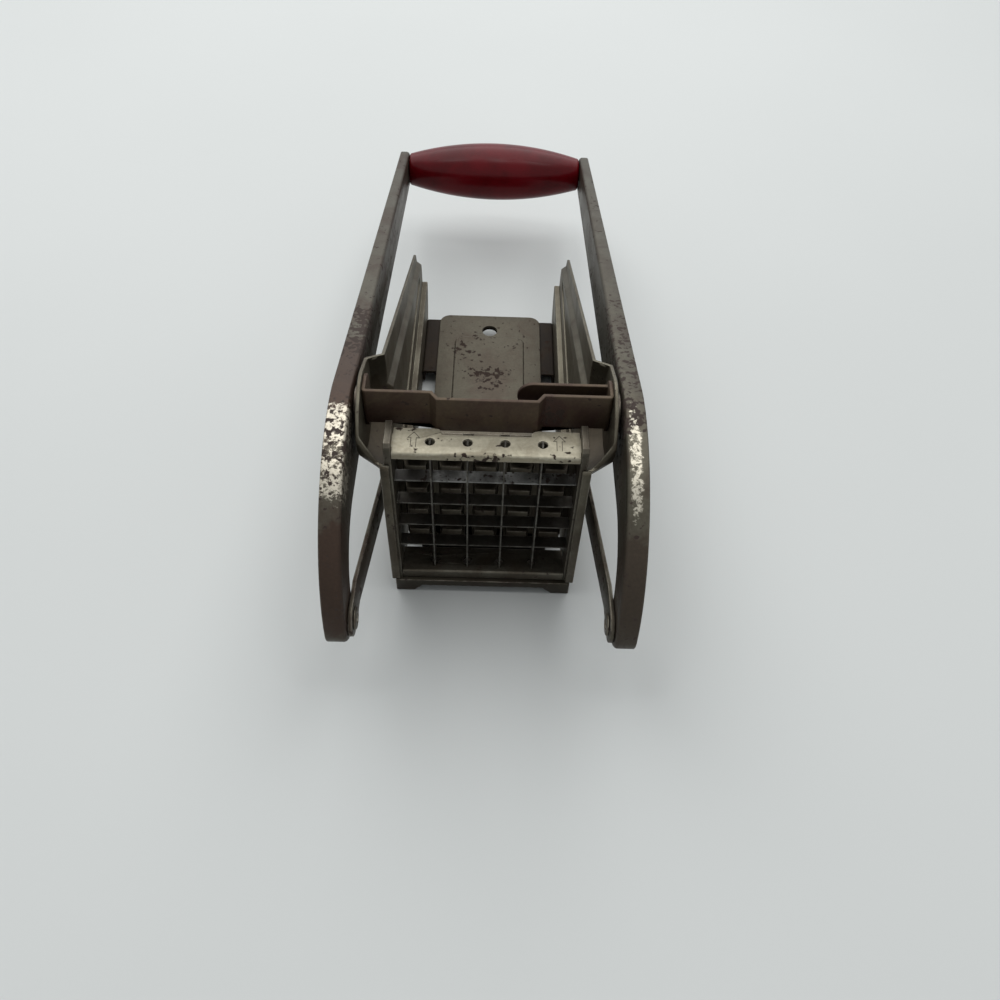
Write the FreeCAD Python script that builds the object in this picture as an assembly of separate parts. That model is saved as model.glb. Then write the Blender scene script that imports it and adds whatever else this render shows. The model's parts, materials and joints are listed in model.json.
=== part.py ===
import FreeCAD, Part
import math
import os

# Lever-operated french fry cutter, shown with its handle down and its pusher against the grid.
# All sizes are in millimetres. X runs across the tool, +Y back towards the grip, +Z up.
# The model is laid out from the front plane of the grid, and moved at the end so that its origin
# lies on the table under the middle of its bounding box.

V = FreeCAD.Vector
X_AXIS = V(1, 0, 0)

# Cutting tools reach past the whole tool, or stand a little proud of the piece they cut
REACH = 400.0
PROUD = 1.0

# Cutting grid
CELLS = 5
PITCH = 12.1
BLADE = 0.5
BLADE_SLOT_GAP = 0.05
UPRIGHT_BLADE_DEPTH = 6.4
CROSS_BLADE_Y = 0.8
CROSS_BLADE_DEPTH = 4.8
TAB_WIDTH = 2.6
TAB_HOLE_R = 1.6
GRID_BOTTOM_Z = 12.0

# Cartridge that carries the grid
CARTRIDGE_SHEET = 1.2
CARTRIDGE_BEND_R = 0.84
CARTRIDGE_SIDE = 2.3
CARTRIDGE_FRONT_Y = -2.2
CARTRIDGE_REAR_Y = 9.0
COVER_TOP_Z = 77.5
COVER_LIP = 3.0
SIDE_TOP_Z = 80.8
FLOOR_TOP_Z = 11.2
FLOOR_LIP = 4.0
NOTCH_HALF = 14.5
NOTCH_Y = 4.4
NOTCH_CORNER = 2.0
SIDE_GAP = 0.1
SEAT_GAP = 0.1
SIDE_TAB = 6.0
CORNER_CHAMFER = 1.2

# Sheet side plates of the body
SHEET = 1.2
WALL_GAP = 0.3
SHELF_STEP = 2.4
BAND_STEP = 2.0
EAR_RISE = 5.2
SHELF_Z = 21.0
GUIDE_GAP = 0.4
HOOK_GAP = 0.2
HOOK_LAP = 1.5
HOOK_FOOT_Z = 7.5
HOOK_TOP_Z = 72.0
HOOK_CORNER_R = 2.0
EAR_R = 12.3
EAR_BOSS_R = 16.5
EAR_SLOPE = 0.62
EAR_CHIN = (-1.0, 77.0)
EAR_CHEEK = (2.0, 83.5)
EAR_NECK_DEG = 122.0
TOP_EDGE_SLOPE = -0.389
BAND_FRONT = (32.0, 73.0)
BAND_REAR = (158.0, 33.0)
PLATE_TIP_Y = 153.5
PLATE_BULGE = (158.0, 19.0)
PLATE_HEEL_Y = 151.5
PLATE_TOE_Y = 5.0

# Lever
PIVOT = (16.5, 79.5)
CRANK_PIN = (-38.3, 36.5)
GRIP_AXIS = (224.0, 40.3)
ARM_SHEET = 1.2
ARM_RIM_FRONT = 7.1
ARM_RIM_REAR = 4.2
ARM_END_R = 7.8
ARM_TIP_R = 8.2
ARM_TOP_SLOPE = -0.187
ARM_FRONT_R = 56.7
ARM_CROOK_R = 23.5
ARM_KNEE_Y = 43.0
ARM_BEND = 0.9
WASHER = 1.8
WASHER_R = 6.5
PIVOT_R = 2.5
PEEN_LIP = 0.3
PEEN_TALL = 1.0
RUNNING_GAP = 0.05
RIVET_HEAD_R = 4.6
RIVET_HEAD = 1.4
HEAD_BEVEL = 0.6

# Links from the lever to the pusher
LINK_WIDTH = 12.0
LINK_SHEET = 1.5
LINK_GAP = 0.15
LINK_PAD = 11.0
LINK_RIVET_R = 2.6
LINK_RIVET_BORE_R = 1.8
LINK_RIVET_ROLL_R = 3.9
LINK_RIVET_ROLL = 0.7
LINK_CLEAR_OF_PLATE = 0.4
LINK_END_GAP = 0.3

# Pusher
ROD_AT = (35.0, 32.0)
ROD_R = 2.5
SLOT_GAP = 0.2
HANDLE_TRAVEL_DEG = 100.0
STUD_FACE = 7.4
STUD_BASE = 9.0
STUD_TALL = 4.0
STUD_GAP = 0.4
HEAD_PLATE = 2.0
HEAD_SIDE_GAP = 1.6
HEAD_BOTTOM_Z = 13.0
HEAD_TOP_Z = 69.5
HEAD_FLANGE_HALF = 15.5
HEAD_FLANGE = 6.0
HEAD_FLANGE_RISE = 0.8
HEAD_CORNER_R = 2.5
CARRIAGE_GAP = 0.5
CARRIAGE_TOP_Z = 58.0
WING_END_R = 9.0
WING_FOOT = 5.4
WINDOW_RIM = 9.0
WINDOW_CORNER_R = 4.0
BEND_R = 1.08
SHELF_CLEARANCE = 0.2
CARRIAGE_RIVET_R = 2.0
CARRIAGE_RIVET_HEAD_R = 3.4
CARRIAGE_RIVET_HEAD = 1.2
CARRIAGE_RIVET_X = 24.3375
CARRIAGE_RIVET_INSET = 6.0
ROD_CHAMFER = 0.4

# Bottom of the body
PAN_TOP_Z = 6.8
PAN_FOOT_INNER = 26.0
PAN_ARCH_HALF = 23.0
PAN_ARCH_Z = 3.4
PAN_ARCH_SWAY = 0.5
PAN_TONGUE_Y = 26.0
BASE_HALF = 24.0
BASE_FRONT_Y = 12.0
BASE_REAR_Y = 149.7
BASE_CORNER_R = 5.0
BASE_HOLE_R = 3.5
BASE_HOLE_Y = 138.9
PANEL_HALF = 16.2
PANEL_RISE = 0.7
PANEL_BEVEL = 0.42
PANEL_CORNER_R = 4.0
PANEL_REAR_Y = 134.0
PANEL_FRONT_Y = 30.0
BRIDGE_FRONT_Y = 111.0
BRIDGE_REAR_Y = 147.5
BRIDGE_FOOT_Z = 1.0

# Retaining strap across the front
STRAP_SHEET = 1.3
STRAP_BOTTOM_Z = 76.0
STRAP_TOP_Z = 90.2
STRAP_GAP = 0.3
STRAP_JOGGLE = 2.9
STRAP_CENTRE_HALF = 16.3
STRAP_JOGGLE_HALF = 18.4
STRAP_BEND_R = 1.5
STRAP_TURN = 1.7
STRAP_LUG_R = 6.5
STRAP_LUG_RISE = 10.7
STRAP_LUG_CORNER_R = 4.5
RETURN_LENGTH = 30.5
RETURN_BEHIND = 7.8
RETURN_TOP_Z = 87.6
RETURN_BOTTOM_Z = 77.0

# Wooden grip
GRIP_MIDDLE_R = 13.5
GRIP_END_R = 7.75
GRIP_EDGE = 1.0
GRIP_STATIONS = 12
GRIP_END_GAP = 0.3
GRIP_ROD_R = 3.0
GRIP_BORE_GAP = 0.08

# Places worked out from the sizes above
GRID_HALF = CELLS * PITCH / 2
GRID_MIDDLE_Z = GRID_BOTTOM_Z + GRID_HALF
BLADE_AT = [PITCH * (i - (CELLS - 2) / 2) for i in range(CELLS - 1)]
CELL_AT = [PITCH * (i - (CELLS - 1) / 2) for i in range(CELLS)]
TAB_Y = UPRIGHT_BLADE_DEPTH / 2
LAP_Y = UPRIGHT_BLADE_DEPTH / 2
SIDE_INNER_X = GRID_HALF + SIDE_GAP
SIDE_OUTER_X = SIDE_INNER_X + CARTRIDGE_SIDE
PANEL_IN_X = SIDE_OUTER_X + WALL_GAP
PANEL_OUT_X = PANEL_IN_X + SHEET
WALL_IN_X = PANEL_IN_X - SHELF_STEP
WALL_OUT_X = WALL_IN_X + SHEET
BAND_OUT_X = PANEL_OUT_X + BAND_STEP
EAR_OUT_X = BAND_OUT_X + EAR_RISE
EAR_IN_X = EAR_OUT_X - SHEET
HOOK_IN_X = SIDE_OUTER_X - HOOK_LAP
HOOK_REAR_Y = CARTRIDGE_FRONT_Y - HOOK_GAP
PLATE_FRONT_Y = HOOK_REAR_Y - SHEET
GUIDE_Y = CARTRIDGE_REAR_Y + GUIDE_GAP
WEB_IN_X = EAR_OUT_X + WASHER
WEB_OUT_X = WEB_IN_X + ARM_SHEET
LINK_OUT_X = WEB_IN_X - LINK_GAP
LINK_TAIL_IN_X = BAND_OUT_X + LINK_CLEAR_OF_PLATE
ROD_END_X = LINK_TAIL_IN_X - LINK_END_GAP
HEAD_FRONT_Y = CARTRIDGE_REAR_Y + STUD_GAP
HEAD_PLATE_Y = HEAD_FRONT_Y + STUD_TALL
CARRIAGE_Y = HEAD_PLATE_Y + HEAD_PLATE
CARRIAGE_OUT_X = PANEL_IN_X - CARRIAGE_GAP
STRAP_CENTRE_Y = CARTRIDGE_REAR_Y + STRAP_GAP
STRAP_SIDE_Y = STRAP_CENTRE_Y + STRAP_JOGGLE
STRAP_HALF = EAR_IN_X
BASE_Z = PAN_TOP_Z


def pusher_travel():
    """Return how far the rod runs back while the handle is raised through its whole travel."""
    link = math.dist(CRANK_PIN, ROD_AT)
    reach = math.dist(PIVOT, CRANK_PIN)
    turned = math.atan2(CRANK_PIN[1] - PIVOT[1], CRANK_PIN[0] - PIVOT[0]) + math.radians(HANDLE_TRAVEL_DEG)
    pin_y = PIVOT[0] + reach * math.cos(turned)
    pin_z = PIVOT[1] + reach * math.sin(turned)
    return pin_y + math.sqrt(link**2 - (ROD_AT[1] - pin_z) ** 2) - ROD_AT[0]


def box(x0, x1, y0, y1, z0, z1):
    """Return a block between two corners."""
    return Part.makeBox(x1 - x0, y1 - y0, z1 - z0, V(x0, y0, z0))


def rod_x(radius, x0, x1, at):
    """Return a cylinder along X, centred on the point (y, z)."""
    return Part.makeCylinder(radius, x1 - x0, V(x0, at[0], at[1]), X_AXIS)


def path_wire(steps, place):
    """Return a closed wire. A step is a point, or a pair of points for an arc through the first."""
    edges = []
    here = steps[-1] if not isinstance(steps[-1][0], tuple) else steps[-1][1]
    for step in steps:
        if isinstance(step[0], tuple):
            edges.append(Part.Arc(place(*here), place(*step[0]), place(*step[1])).toShape())
            here = step[1]
        elif math.dist(here, step) > 1e-6:
            edges.append(Part.LineSegment(place(*here), place(*step)).toShape())
            here = step
    return Part.Wire(edges)


def plate_x(steps, x0, x1):
    """Return a flat plate whose outline lies in the YZ plane, from x0 to x1."""
    wire = path_wire(steps, lambda y, z: V(x0, y, z))
    return Part.Face(wire).extrude(V(x1 - x0, 0, 0))


def plate_y(steps, y0, y1):
    """Return a flat plate whose outline lies in the XZ plane, from y0 to y1."""
    wire = path_wire(steps, lambda x, z: V(x, y0, z))
    return Part.Face(wire).extrude(V(0, y1 - y0, 0))


def plate_z(steps, z0, z1):
    """Return a flat plate whose outline lies in the XY plane, from z0 to z1."""
    wire = path_wire(steps, lambda x, y: V(x, y, z0))
    return Part.Face(wire).extrude(V(0, 0, z1 - z0))


def point_on(centre, radius, degrees):
    """Return the point of a circle at an angle measured from the first axis."""
    turn = math.radians(degrees)
    return (centre[0] + radius * math.cos(turn), centre[1] + radius * math.sin(turn))


def stadium_x(start, end, radius, x0, x1):
    """Return a plate along X with two round ends, centred on the points start and end."""
    along = math.degrees(math.atan2(end[1] - start[1], end[0] - start[0]))
    steps = [
        point_on(start, radius, along + 90),
        (point_on(start, radius, along + 180), point_on(start, radius, along - 90)),
        point_on(end, radius, along - 90),
        (point_on(end, radius, along), point_on(end, radius, along + 90)),
    ]
    return plate_x(steps, x0, x1)


def mirrored(shape):
    """Return the same piece for the other side of the tool."""
    return shape.mirror(V(0, 0, 0), X_AXIS)


def plate_outline():
    """Return the YZ outline of a side plate: hooked front, round ear, sloping top and bulged tail."""
    slope = math.degrees(math.atan(TOP_EDGE_SLOPE))
    top_start = point_on(PIVOT, EAR_R, 90 + slope)
    tip = (PLATE_TIP_Y, top_start[1] + TOP_EDGE_SLOPE * (PLATE_TIP_Y - top_start[0]))
    hook = (PLATE_FRONT_Y + HOOK_CORNER_R, HOOK_TOP_Z)
    neck = point_on(PIVOT, EAR_R, EAR_NECK_DEG)
    return [
        (PLATE_TOE_Y, 0.0),
        (PLATE_FRONT_Y, HOOK_FOOT_Z),
        (PLATE_FRONT_Y, HOOK_TOP_Z - HOOK_CORNER_R),
        (point_on((hook[0], HOOK_TOP_Z - HOOK_CORNER_R), HOOK_CORNER_R, 135), hook),
        EAR_CHIN,
        (EAR_CHEEK, neck),
        (point_on(PIVOT, EAR_R, (EAR_NECK_DEG + 90 + slope) / 2), top_start),
        tip,
        (PLATE_BULGE, (PLATE_HEEL_Y, 0.0)),
    ]


def band_prism(in_x, step_low_x, step_high_x, lift):
    """Return the space outside the sloping step line, seen as a long prism along that line."""
    run = V(0, BAND_REAR[0] - BAND_FRONT[0], BAND_REAR[1] - BAND_FRONT[1]).normalize()
    up = V(0, -run.z, run.y)
    start = V(0, BAND_FRONT[0], BAND_FRONT[1]) - run * REACH
    section = [
        (in_x, -BAND_STEP + lift),
        (step_low_x, -BAND_STEP + lift),
        (step_high_x, lift),
        (step_high_x, REACH),
        (in_x, REACH),
    ]
    wire = path_wire(section, lambda x, w: start + up * w + V(x, 0, 0))
    return Part.Face(wire).extrude(run * 2 * REACH)


def ear_cone(base_x, top_x, shrink):
    """Return the tapered boss that brings the ear out to the lever."""
    top_r = EAR_BOSS_R - shrink
    base_r = top_r + (top_x - base_x) * EAR_SLOPE
    return Part.makeCone(base_r, top_r, top_x - base_x, V(base_x, PIVOT[0], PIVOT[1]), X_AXIS)


def side_plate():
    """Return the right side plate: one pressed sheet with a shelf, a band, an ear and a front hook."""
    far = REACH
    half_step = SHEET * math.tan(math.radians(22.5))
    ear_turn = math.atan(1 / EAR_SLOPE)
    ear_shrink = SHEET * math.tan(ear_turn / 2)
    outer = box(0, WALL_OUT_X, -far, far, -far, far)
    outer = outer.fuse(box(0, PANEL_OUT_X, -far, GUIDE_Y + SHEET, -far, far))
    outer = outer.fuse(box(0, PANEL_OUT_X, -far, far, SHELF_Z - SHEET, far))
    outer = outer.fuse(band_prism(0, PANEL_OUT_X, BAND_OUT_X, 0))
    outer = outer.fuse(ear_cone(PANEL_OUT_X, EAR_OUT_X, 0))
    inner = box(0, WALL_IN_X, -far, far, -far, far)
    inner = inner.fuse(box(0, PANEL_IN_X, -far, GUIDE_Y, -far, far))
    inner = inner.fuse(box(0, PANEL_IN_X, -far, far, SHELF_Z, far))
    inner = inner.fuse(band_prism(0, PANEL_IN_X, BAND_OUT_X - SHEET, half_step))
    inner = inner.fuse(ear_cone(PANEL_IN_X, EAR_IN_X, ear_shrink))
    outline = plate_x(plate_outline(), PROUD, EAR_OUT_X + PROUD)
    sheet = outline.common(outer).cut(inner)
    hook = box(HOOK_IN_X, PANEL_OUT_X, PLATE_FRONT_Y, HOOK_REAR_Y, HOOK_FOOT_Z, HOOK_TOP_Z)
    sheet = sheet.fuse(hook.common(outline))
    slot_r = ROD_R + SLOT_GAP
    slot_end = (ROD_AT[0] + pusher_travel(), ROD_AT[1])
    sheet = sheet.cut(stadium_x(ROD_AT, slot_end, slot_r, WALL_IN_X, EAR_OUT_X))
    sheet = sheet.cut(rod_x(PIVOT_R, EAR_IN_X - PROUD, EAR_OUT_X + PROUD, PIVOT))
    return sheet.removeSplitter()


def bottom_pan():
    """Return the pan under the cartridge, with its arched front lip and pressed feet."""
    half = PANEL_IN_X
    lip_front = PLATE_FRONT_Y
    top = box(-half, half, lip_front, GUIDE_Y, PAN_TOP_Z - SHEET, PAN_TOP_Z)
    top = top.fuse(box(-BASE_HALF, BASE_HALF, GUIDE_Y, PAN_TONGUE_Y, PAN_TOP_Z - SHEET, PAN_TOP_Z))
    rise = (PAN_FOOT_INNER + PAN_ARCH_HALF) / 2
    arch = [
        (-half, 0.0),
        (-PAN_FOOT_INNER, 0.0),
        (-rise - PAN_ARCH_SWAY, PAN_ARCH_Z / 2 - PAN_ARCH_SWAY),
        (-rise + PAN_ARCH_SWAY, PAN_ARCH_Z / 2 + PAN_ARCH_SWAY),
        (-PAN_ARCH_HALF, PAN_ARCH_Z),
        (PAN_ARCH_HALF, PAN_ARCH_Z),
        (rise - PAN_ARCH_SWAY, PAN_ARCH_Z / 2 + PAN_ARCH_SWAY),
        (rise + PAN_ARCH_SWAY, PAN_ARCH_Z / 2 - PAN_ARCH_SWAY),
        (PAN_FOOT_INNER, 0.0),
        (half, 0.0),
        (half, PAN_TOP_Z),
        (-half, PAN_TOP_Z),
    ]
    pan = top.fuse(plate_y(arch, lip_front, lip_front + SHEET))
    for side in (-1, 1):
        x0, x1 = sorted((side * half, side * (half - SHEET)))
        pan = pan.fuse(box(x0, x1, lip_front, GUIDE_Y, 0.0, PAN_TOP_Z))
    return pan.removeSplitter()


def base_plate():
    """Return the long tongue that carries the potato, with its raised panel and fixing hole."""
    corner = BASE_CORNER_R
    rear = BASE_REAR_Y
    steps = [
        (-BASE_HALF, BASE_FRONT_Y),
        (BASE_HALF, BASE_FRONT_Y),
        (BASE_HALF, rear - corner),
        (point_on((BASE_HALF - corner, rear - corner), corner, 45), (BASE_HALF - corner, rear)),
        (-BASE_HALF + corner, rear),
        (point_on((-BASE_HALF + corner, rear - corner), corner, 135), (-BASE_HALF, rear - corner)),
    ]
    plate = plate_z(steps, BASE_Z, BASE_Z + SHEET)
    panel = box(-PANEL_HALF, PANEL_HALF, PANEL_FRONT_Y, PANEL_REAR_Y, BASE_Z, BASE_Z + SHEET + PANEL_RISE)
    rounded = [e for e in panel.Edges if abs(e.tangentAt(e.FirstParameter).z) > 0.99]
    panel = panel.makeFillet(PANEL_CORNER_R, rounded)
    hollow = box(-PANEL_HALF + SHEET, PANEL_HALF - SHEET, PANEL_FRONT_Y + SHEET, PANEL_REAR_Y - SHEET,
                 BASE_Z, BASE_Z + PANEL_RISE)
    plate = plate.fuse(panel).cut(hollow)
    top = BASE_Z + SHEET + PANEL_RISE
    rim = [e for e in plate.Edges if e.BoundBox.ZMin > top - 0.01]
    plate = plate.makeChamfer(PANEL_BEVEL, rim)
    hole = Part.makeCylinder(BASE_HOLE_R, 3 * SHEET, V(0, BASE_HOLE_Y, BASE_Z - SHEET))
    return plate.cut(hole)


def rear_bridge():
    """Return the cross strip under the tongue, turned down against both side plates."""
    half = WALL_IN_X
    strip = box(-half, half, BRIDGE_FRONT_Y, BRIDGE_REAR_Y, BASE_Z - SHEET, BASE_Z)
    for side in (-1, 1):
        x0, x1 = sorted((side * half, side * (half - SHEET)))
        strip = strip.fuse(box(x0, x1, BRIDGE_FRONT_Y, BRIDGE_REAR_Y, BRIDGE_FOOT_Z, BASE_Z))
    strip = strip.removeSplitter()
    ends = [e for e in strip.Edges if abs(abs(e.CenterOfMass.x) - half) < 0.01
            and abs(e.CenterOfMass.z - BASE_Z) < 0.01 and e.Length > SHEET * 2]
    strip = strip.makeFillet(BEND_R, ends)
    hole = Part.makeCylinder(BASE_HOLE_R, 3 * SHEET, V(0, BASE_HOLE_Y, BASE_Z - 2 * SHEET))
    return strip.cut(hole)


def strap_profile():
    """Return the closed XY outline of the bent strip: both side flanges and the joggled middle."""
    t, r = STRAP_SHEET, STRAP_BEND_R
    rear = PIVOT[0] + STRAP_LUG_R
    lean = math.atan2(STRAP_JOGGLE, STRAP_JOGGLE_HALF - STRAP_CENTRE_HALF)
    shift = t * math.tan(lean / 2)
    front = [
        (STRAP_CENTRE_HALF, STRAP_CENTRE_Y),
        (STRAP_JOGGLE_HALF, STRAP_SIDE_Y),
        (STRAP_HALF - r, STRAP_SIDE_Y),
        (point_on((STRAP_HALF - r, STRAP_SIDE_Y + r), r, -45), (STRAP_HALF, STRAP_SIDE_Y + r)),
        (STRAP_HALF, rear),
        (STRAP_HALF - t, rear),
        (STRAP_HALF - t, STRAP_SIDE_Y + r),
        (point_on((STRAP_HALF - r, STRAP_SIDE_Y + r), r - t, -45), (STRAP_HALF - r, STRAP_SIDE_Y + t)),
        (STRAP_JOGGLE_HALF - shift, STRAP_SIDE_Y + t),
        (STRAP_CENTRE_HALF - shift, STRAP_CENTRE_Y + t),
    ]
    return [(0.0, STRAP_CENTRE_Y)] + front + [(0.0, STRAP_CENTRE_Y + t)]


def retaining_strap():
    """Return the strap between the ears, with its joggled middle and, on the right, a return tab."""
    t, corner = STRAP_SHEET, STRAP_LUG_CORNER_R
    turn = STRAP_SIDE_Y + STRAP_TURN
    rear = PIVOT[0] + STRAP_LUG_R
    lug_z, lug_top = PIVOT[1] - STRAP_LUG_R, PIVOT[1] + STRAP_LUG_RISE
    front = plate_z(strap_profile(), STRAP_BOTTOM_Z, STRAP_TOP_Z)
    front = front.common(box(0, STRAP_HALF, STRAP_CENTRE_Y, turn, STRAP_BOTTOM_Z, STRAP_TOP_Z))
    side_view = [
        (turn, lug_z),
        (turn, lug_top),
        (rear - corner, lug_top),
        (point_on((rear - corner, lug_top - corner), corner, 45), (rear, lug_top - corner)),
        (rear, PIVOT[1]),
        (point_on(PIVOT, STRAP_LUG_R, -45), (PIVOT[0], lug_z)),
    ]
    lug = plate_x(side_view, STRAP_HALF - t, STRAP_HALF)
    half = front.fuse(lug)
    band = half.fuse(mirrored(half))
    tab_y = STRAP_SIDE_Y + RETURN_BEHIND
    tip = STRAP_HALF - RETURN_LENGTH
    tall = RETURN_TOP_Z - RETURN_BOTTOM_Z
    tab = [
        (STRAP_HALF - t / 2, RETURN_BOTTOM_Z),
        (STRAP_HALF - t / 2, RETURN_TOP_Z),
        (tip + tall / 2, RETURN_TOP_Z),
        ((tip, RETURN_TOP_Z - tall / 2), (tip + tall / 2, RETURN_BOTTOM_Z)),
    ]
    band = band.fuse(plate_y(tab, tab_y, tab_y + t))
    return band.cut(rod_x(PIVOT_R, -STRAP_HALF - PROUD, STRAP_HALF + PROUD, PIVOT)).removeSplitter()


def pivot_rivet():
    """Return the right pivot rivet: peened inside the strap, with its head outside the arm."""
    shank = rod_x(PIVOT_R, STRAP_HALF - STRAP_SHEET - PEEN_TALL, WEB_OUT_X + LINK_GAP, PIVOT)
    head = rod_x(RIVET_HEAD_R, WEB_OUT_X + LINK_GAP, WEB_OUT_X + LINK_GAP + RIVET_HEAD, PIVOT)
    head = head.makeChamfer(RIVET_HEAD * HEAD_BEVEL,
                            [e for e in head.Edges if e.CenterOfMass.x > WEB_OUT_X + RIVET_HEAD])
    peen_x = STRAP_HALF - STRAP_SHEET
    peen = rod_x(PIVOT_R + PEEN_LIP, peen_x - PEEN_TALL, peen_x, PIVOT)
    return shank.fuse([head, peen]).removeSplitter()


def pivot_washer():
    """Return the spacing washer between the right ear and its arm."""
    ring = rod_x(WASHER_R, EAR_OUT_X, WEB_IN_X - LINK_GAP, PIVOT)
    return ring.cut(rod_x(PIVOT_R, EAR_OUT_X - PROUD, WEB_IN_X + PROUD, PIVOT))


def cartridge_cover():
    """Return the top of the cartridge: notched plate, blade holes and turned-down front lip."""
    t = CARTRIDGE_SHEET
    half = GRID_HALF
    front, rear = CARTRIDGE_FRONT_Y, CARTRIDGE_REAR_Y
    r = NOTCH_CORNER
    steps = [
        (-half, front),
        (half, front),
        (half, rear),
        (NOTCH_HALF + r, rear),
        (point_on((NOTCH_HALF + r, rear - r), r, 135), (NOTCH_HALF, rear - r)),
        (NOTCH_HALF, NOTCH_Y),
        (-NOTCH_HALF, NOTCH_Y),
        (-NOTCH_HALF, rear - r),
        (point_on((-NOTCH_HALF - r, rear - r), r, 45), (-NOTCH_HALF - r, rear)),
        (-half, rear),
    ]
    plate = plate_z(steps, COVER_TOP_Z - t, COVER_TOP_Z)
    lip = box(-half, half, front, front + t, COVER_TOP_Z - COVER_LIP, COVER_TOP_Z)
    cover = plate.fuse(lip).removeSplitter()
    bend = [e for e in cover.Edges if abs(e.CenterOfMass.y - front) < 0.01
            and abs(e.CenterOfMass.z - COVER_TOP_Z) < 0.01]
    cover = cover.makeFillet(CARTRIDGE_BEND_R, bend)
    return with_tabs_and_holes(cover, COVER_TOP_Z)


def cartridge_floor():
    """Return the bottom of the cartridge, which mirrors the cover without its notch."""
    t = CARTRIDGE_SHEET
    half = GRID_HALF
    plate = box(-half, half, CARTRIDGE_FRONT_Y, CARTRIDGE_REAR_Y, FLOOR_TOP_Z - t, FLOOR_TOP_Z)
    lip = box(-half, half, CARTRIDGE_FRONT_Y, CARTRIDGE_FRONT_Y + t, FLOOR_TOP_Z - FLOOR_LIP, FLOOR_TOP_Z)
    floor = plate.fuse(lip).removeSplitter()
    bend = [e for e in floor.Edges if abs(e.CenterOfMass.y - CARTRIDGE_FRONT_Y) < 0.01
            and abs(e.CenterOfMass.z - FLOOR_TOP_Z) < 0.01]
    floor = floor.makeFillet(CARTRIDGE_BEND_R, bend)
    return with_tabs_and_holes(floor, FLOOR_TOP_Z)


def tab_span():
    """Return where the tabs of the cover and floor lie along Y."""
    middle = (CARTRIDGE_FRONT_Y + CARTRIDGE_REAR_Y) / 2
    return middle - SIDE_TAB / 2, middle + SIDE_TAB / 2


def with_tabs_and_holes(plate, top_z):
    """Return a cartridge plate with a tab at each end and a hole over each upright blade."""
    y0, y1 = tab_span()
    reach = SIDE_OUTER_X
    plate = plate.fuse(box(-reach, reach, y0, y1, top_z - CARTRIDGE_SHEET, top_z))
    for x in BLADE_AT:
        hole = Part.makeCylinder(TAB_HOLE_R, 3 * CARTRIDGE_SHEET, V(x, TAB_Y, top_z - 2 * CARTRIDGE_SHEET))
        plate = plate.cut(hole)
    return plate.removeSplitter()


def cartridge_side():
    """Return the right side bar of the cartridge, slotted for tabs and cross blades."""
    x0, x1 = SIDE_INNER_X, SIDE_OUTER_X
    bar = box(x0, x1, CARTRIDGE_FRONT_Y, CARTRIDGE_REAR_Y, PAN_TOP_Z + SEAT_GAP, SIDE_TOP_Z)
    nose = [e for e in bar.Edges if abs(e.CenterOfMass.y - CARTRIDGE_FRONT_Y) < 0.01
            and abs(e.CenterOfMass.z - SIDE_TOP_Z) < 0.01]
    bar = bar.makeChamfer(CORNER_CHAMFER, nose)
    y0, y1 = tab_span()
    g = BLADE_SLOT_GAP
    for top in (COVER_TOP_Z, FLOOR_TOP_Z):
        bar = bar.cut(box(x0 - PROUD, x1 + PROUD, y0 - g, y1 + g, top - CARTRIDGE_SHEET - g, top + g))
    cross_middle = CROSS_BLADE_Y + CROSS_BLADE_DEPTH / 2
    for z in BLADE_AT:
        middle = GRID_MIDDLE_Z + z
        bar = bar.cut(box(x0 - PROUD, x1 + PROUD, cross_middle - TAB_WIDTH / 2 - g,
                          cross_middle + TAB_WIDTH / 2 + g, middle - BLADE / 2 - g, middle + BLADE / 2 + g))
    return bar


def upright_blade(x):
    """Return one upright blade, slotted from behind so that the cross blades lock into it."""
    z0, z1 = FLOOR_TOP_Z, COVER_TOP_Z - CARTRIDGE_SHEET
    x0, x1 = x - BLADE / 2, x + BLADE / 2
    blade = box(x0, x1, 0, UPRIGHT_BLADE_DEPTH, z0, z1)
    tab = box(x0, x1, TAB_Y - TAB_WIDTH / 2, TAB_Y + TAB_WIDTH / 2, z0 - CARTRIDGE_SHEET, z1 + CARTRIDGE_SHEET)
    blade = blade.fuse(tab)
    slot = BLADE / 2 + BLADE_SLOT_GAP
    for z in BLADE_AT:
        middle = GRID_MIDDLE_Z + z
        blade = blade.cut(box(x0 - PROUD, x1 + PROUD, LAP_Y, UPRIGHT_BLADE_DEPTH + PROUD,
                              middle - slot, middle + slot))
    return blade


def cross_blade(z):
    """Return one cross blade, slotted from the front over the upright blades."""
    middle = GRID_MIDDLE_Z + z
    z0, z1 = middle - BLADE / 2, middle + BLADE / 2
    y0, y1 = CROSS_BLADE_Y, CROSS_BLADE_Y + CROSS_BLADE_DEPTH
    blade = box(-SIDE_INNER_X, SIDE_INNER_X, y0, y1, z0, z1)
    tab_y = (y0 + y1) / 2
    blade = blade.fuse(box(-SIDE_OUTER_X, SIDE_OUTER_X, tab_y - TAB_WIDTH / 2, tab_y + TAB_WIDTH / 2, z0, z1))
    slot = BLADE / 2 + BLADE_SLOT_GAP
    for x in BLADE_AT:
        blade = blade.cut(box(x - slot, x + slot, y0 - PROUD, LAP_Y, z0 - PROUD, z1 + PROUD))
    return blade


def stud(x, z):
    """Return one tapered square stud, which backs up one cell of the grid."""
    base, face = STUD_BASE / 2, STUD_FACE / 2
    return Part.makeWedge(x - face, HEAD_FRONT_Y, z - face, z - base, x - base,
                          x + face, HEAD_PLATE_Y, z + face, z + base, x + base)


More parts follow.
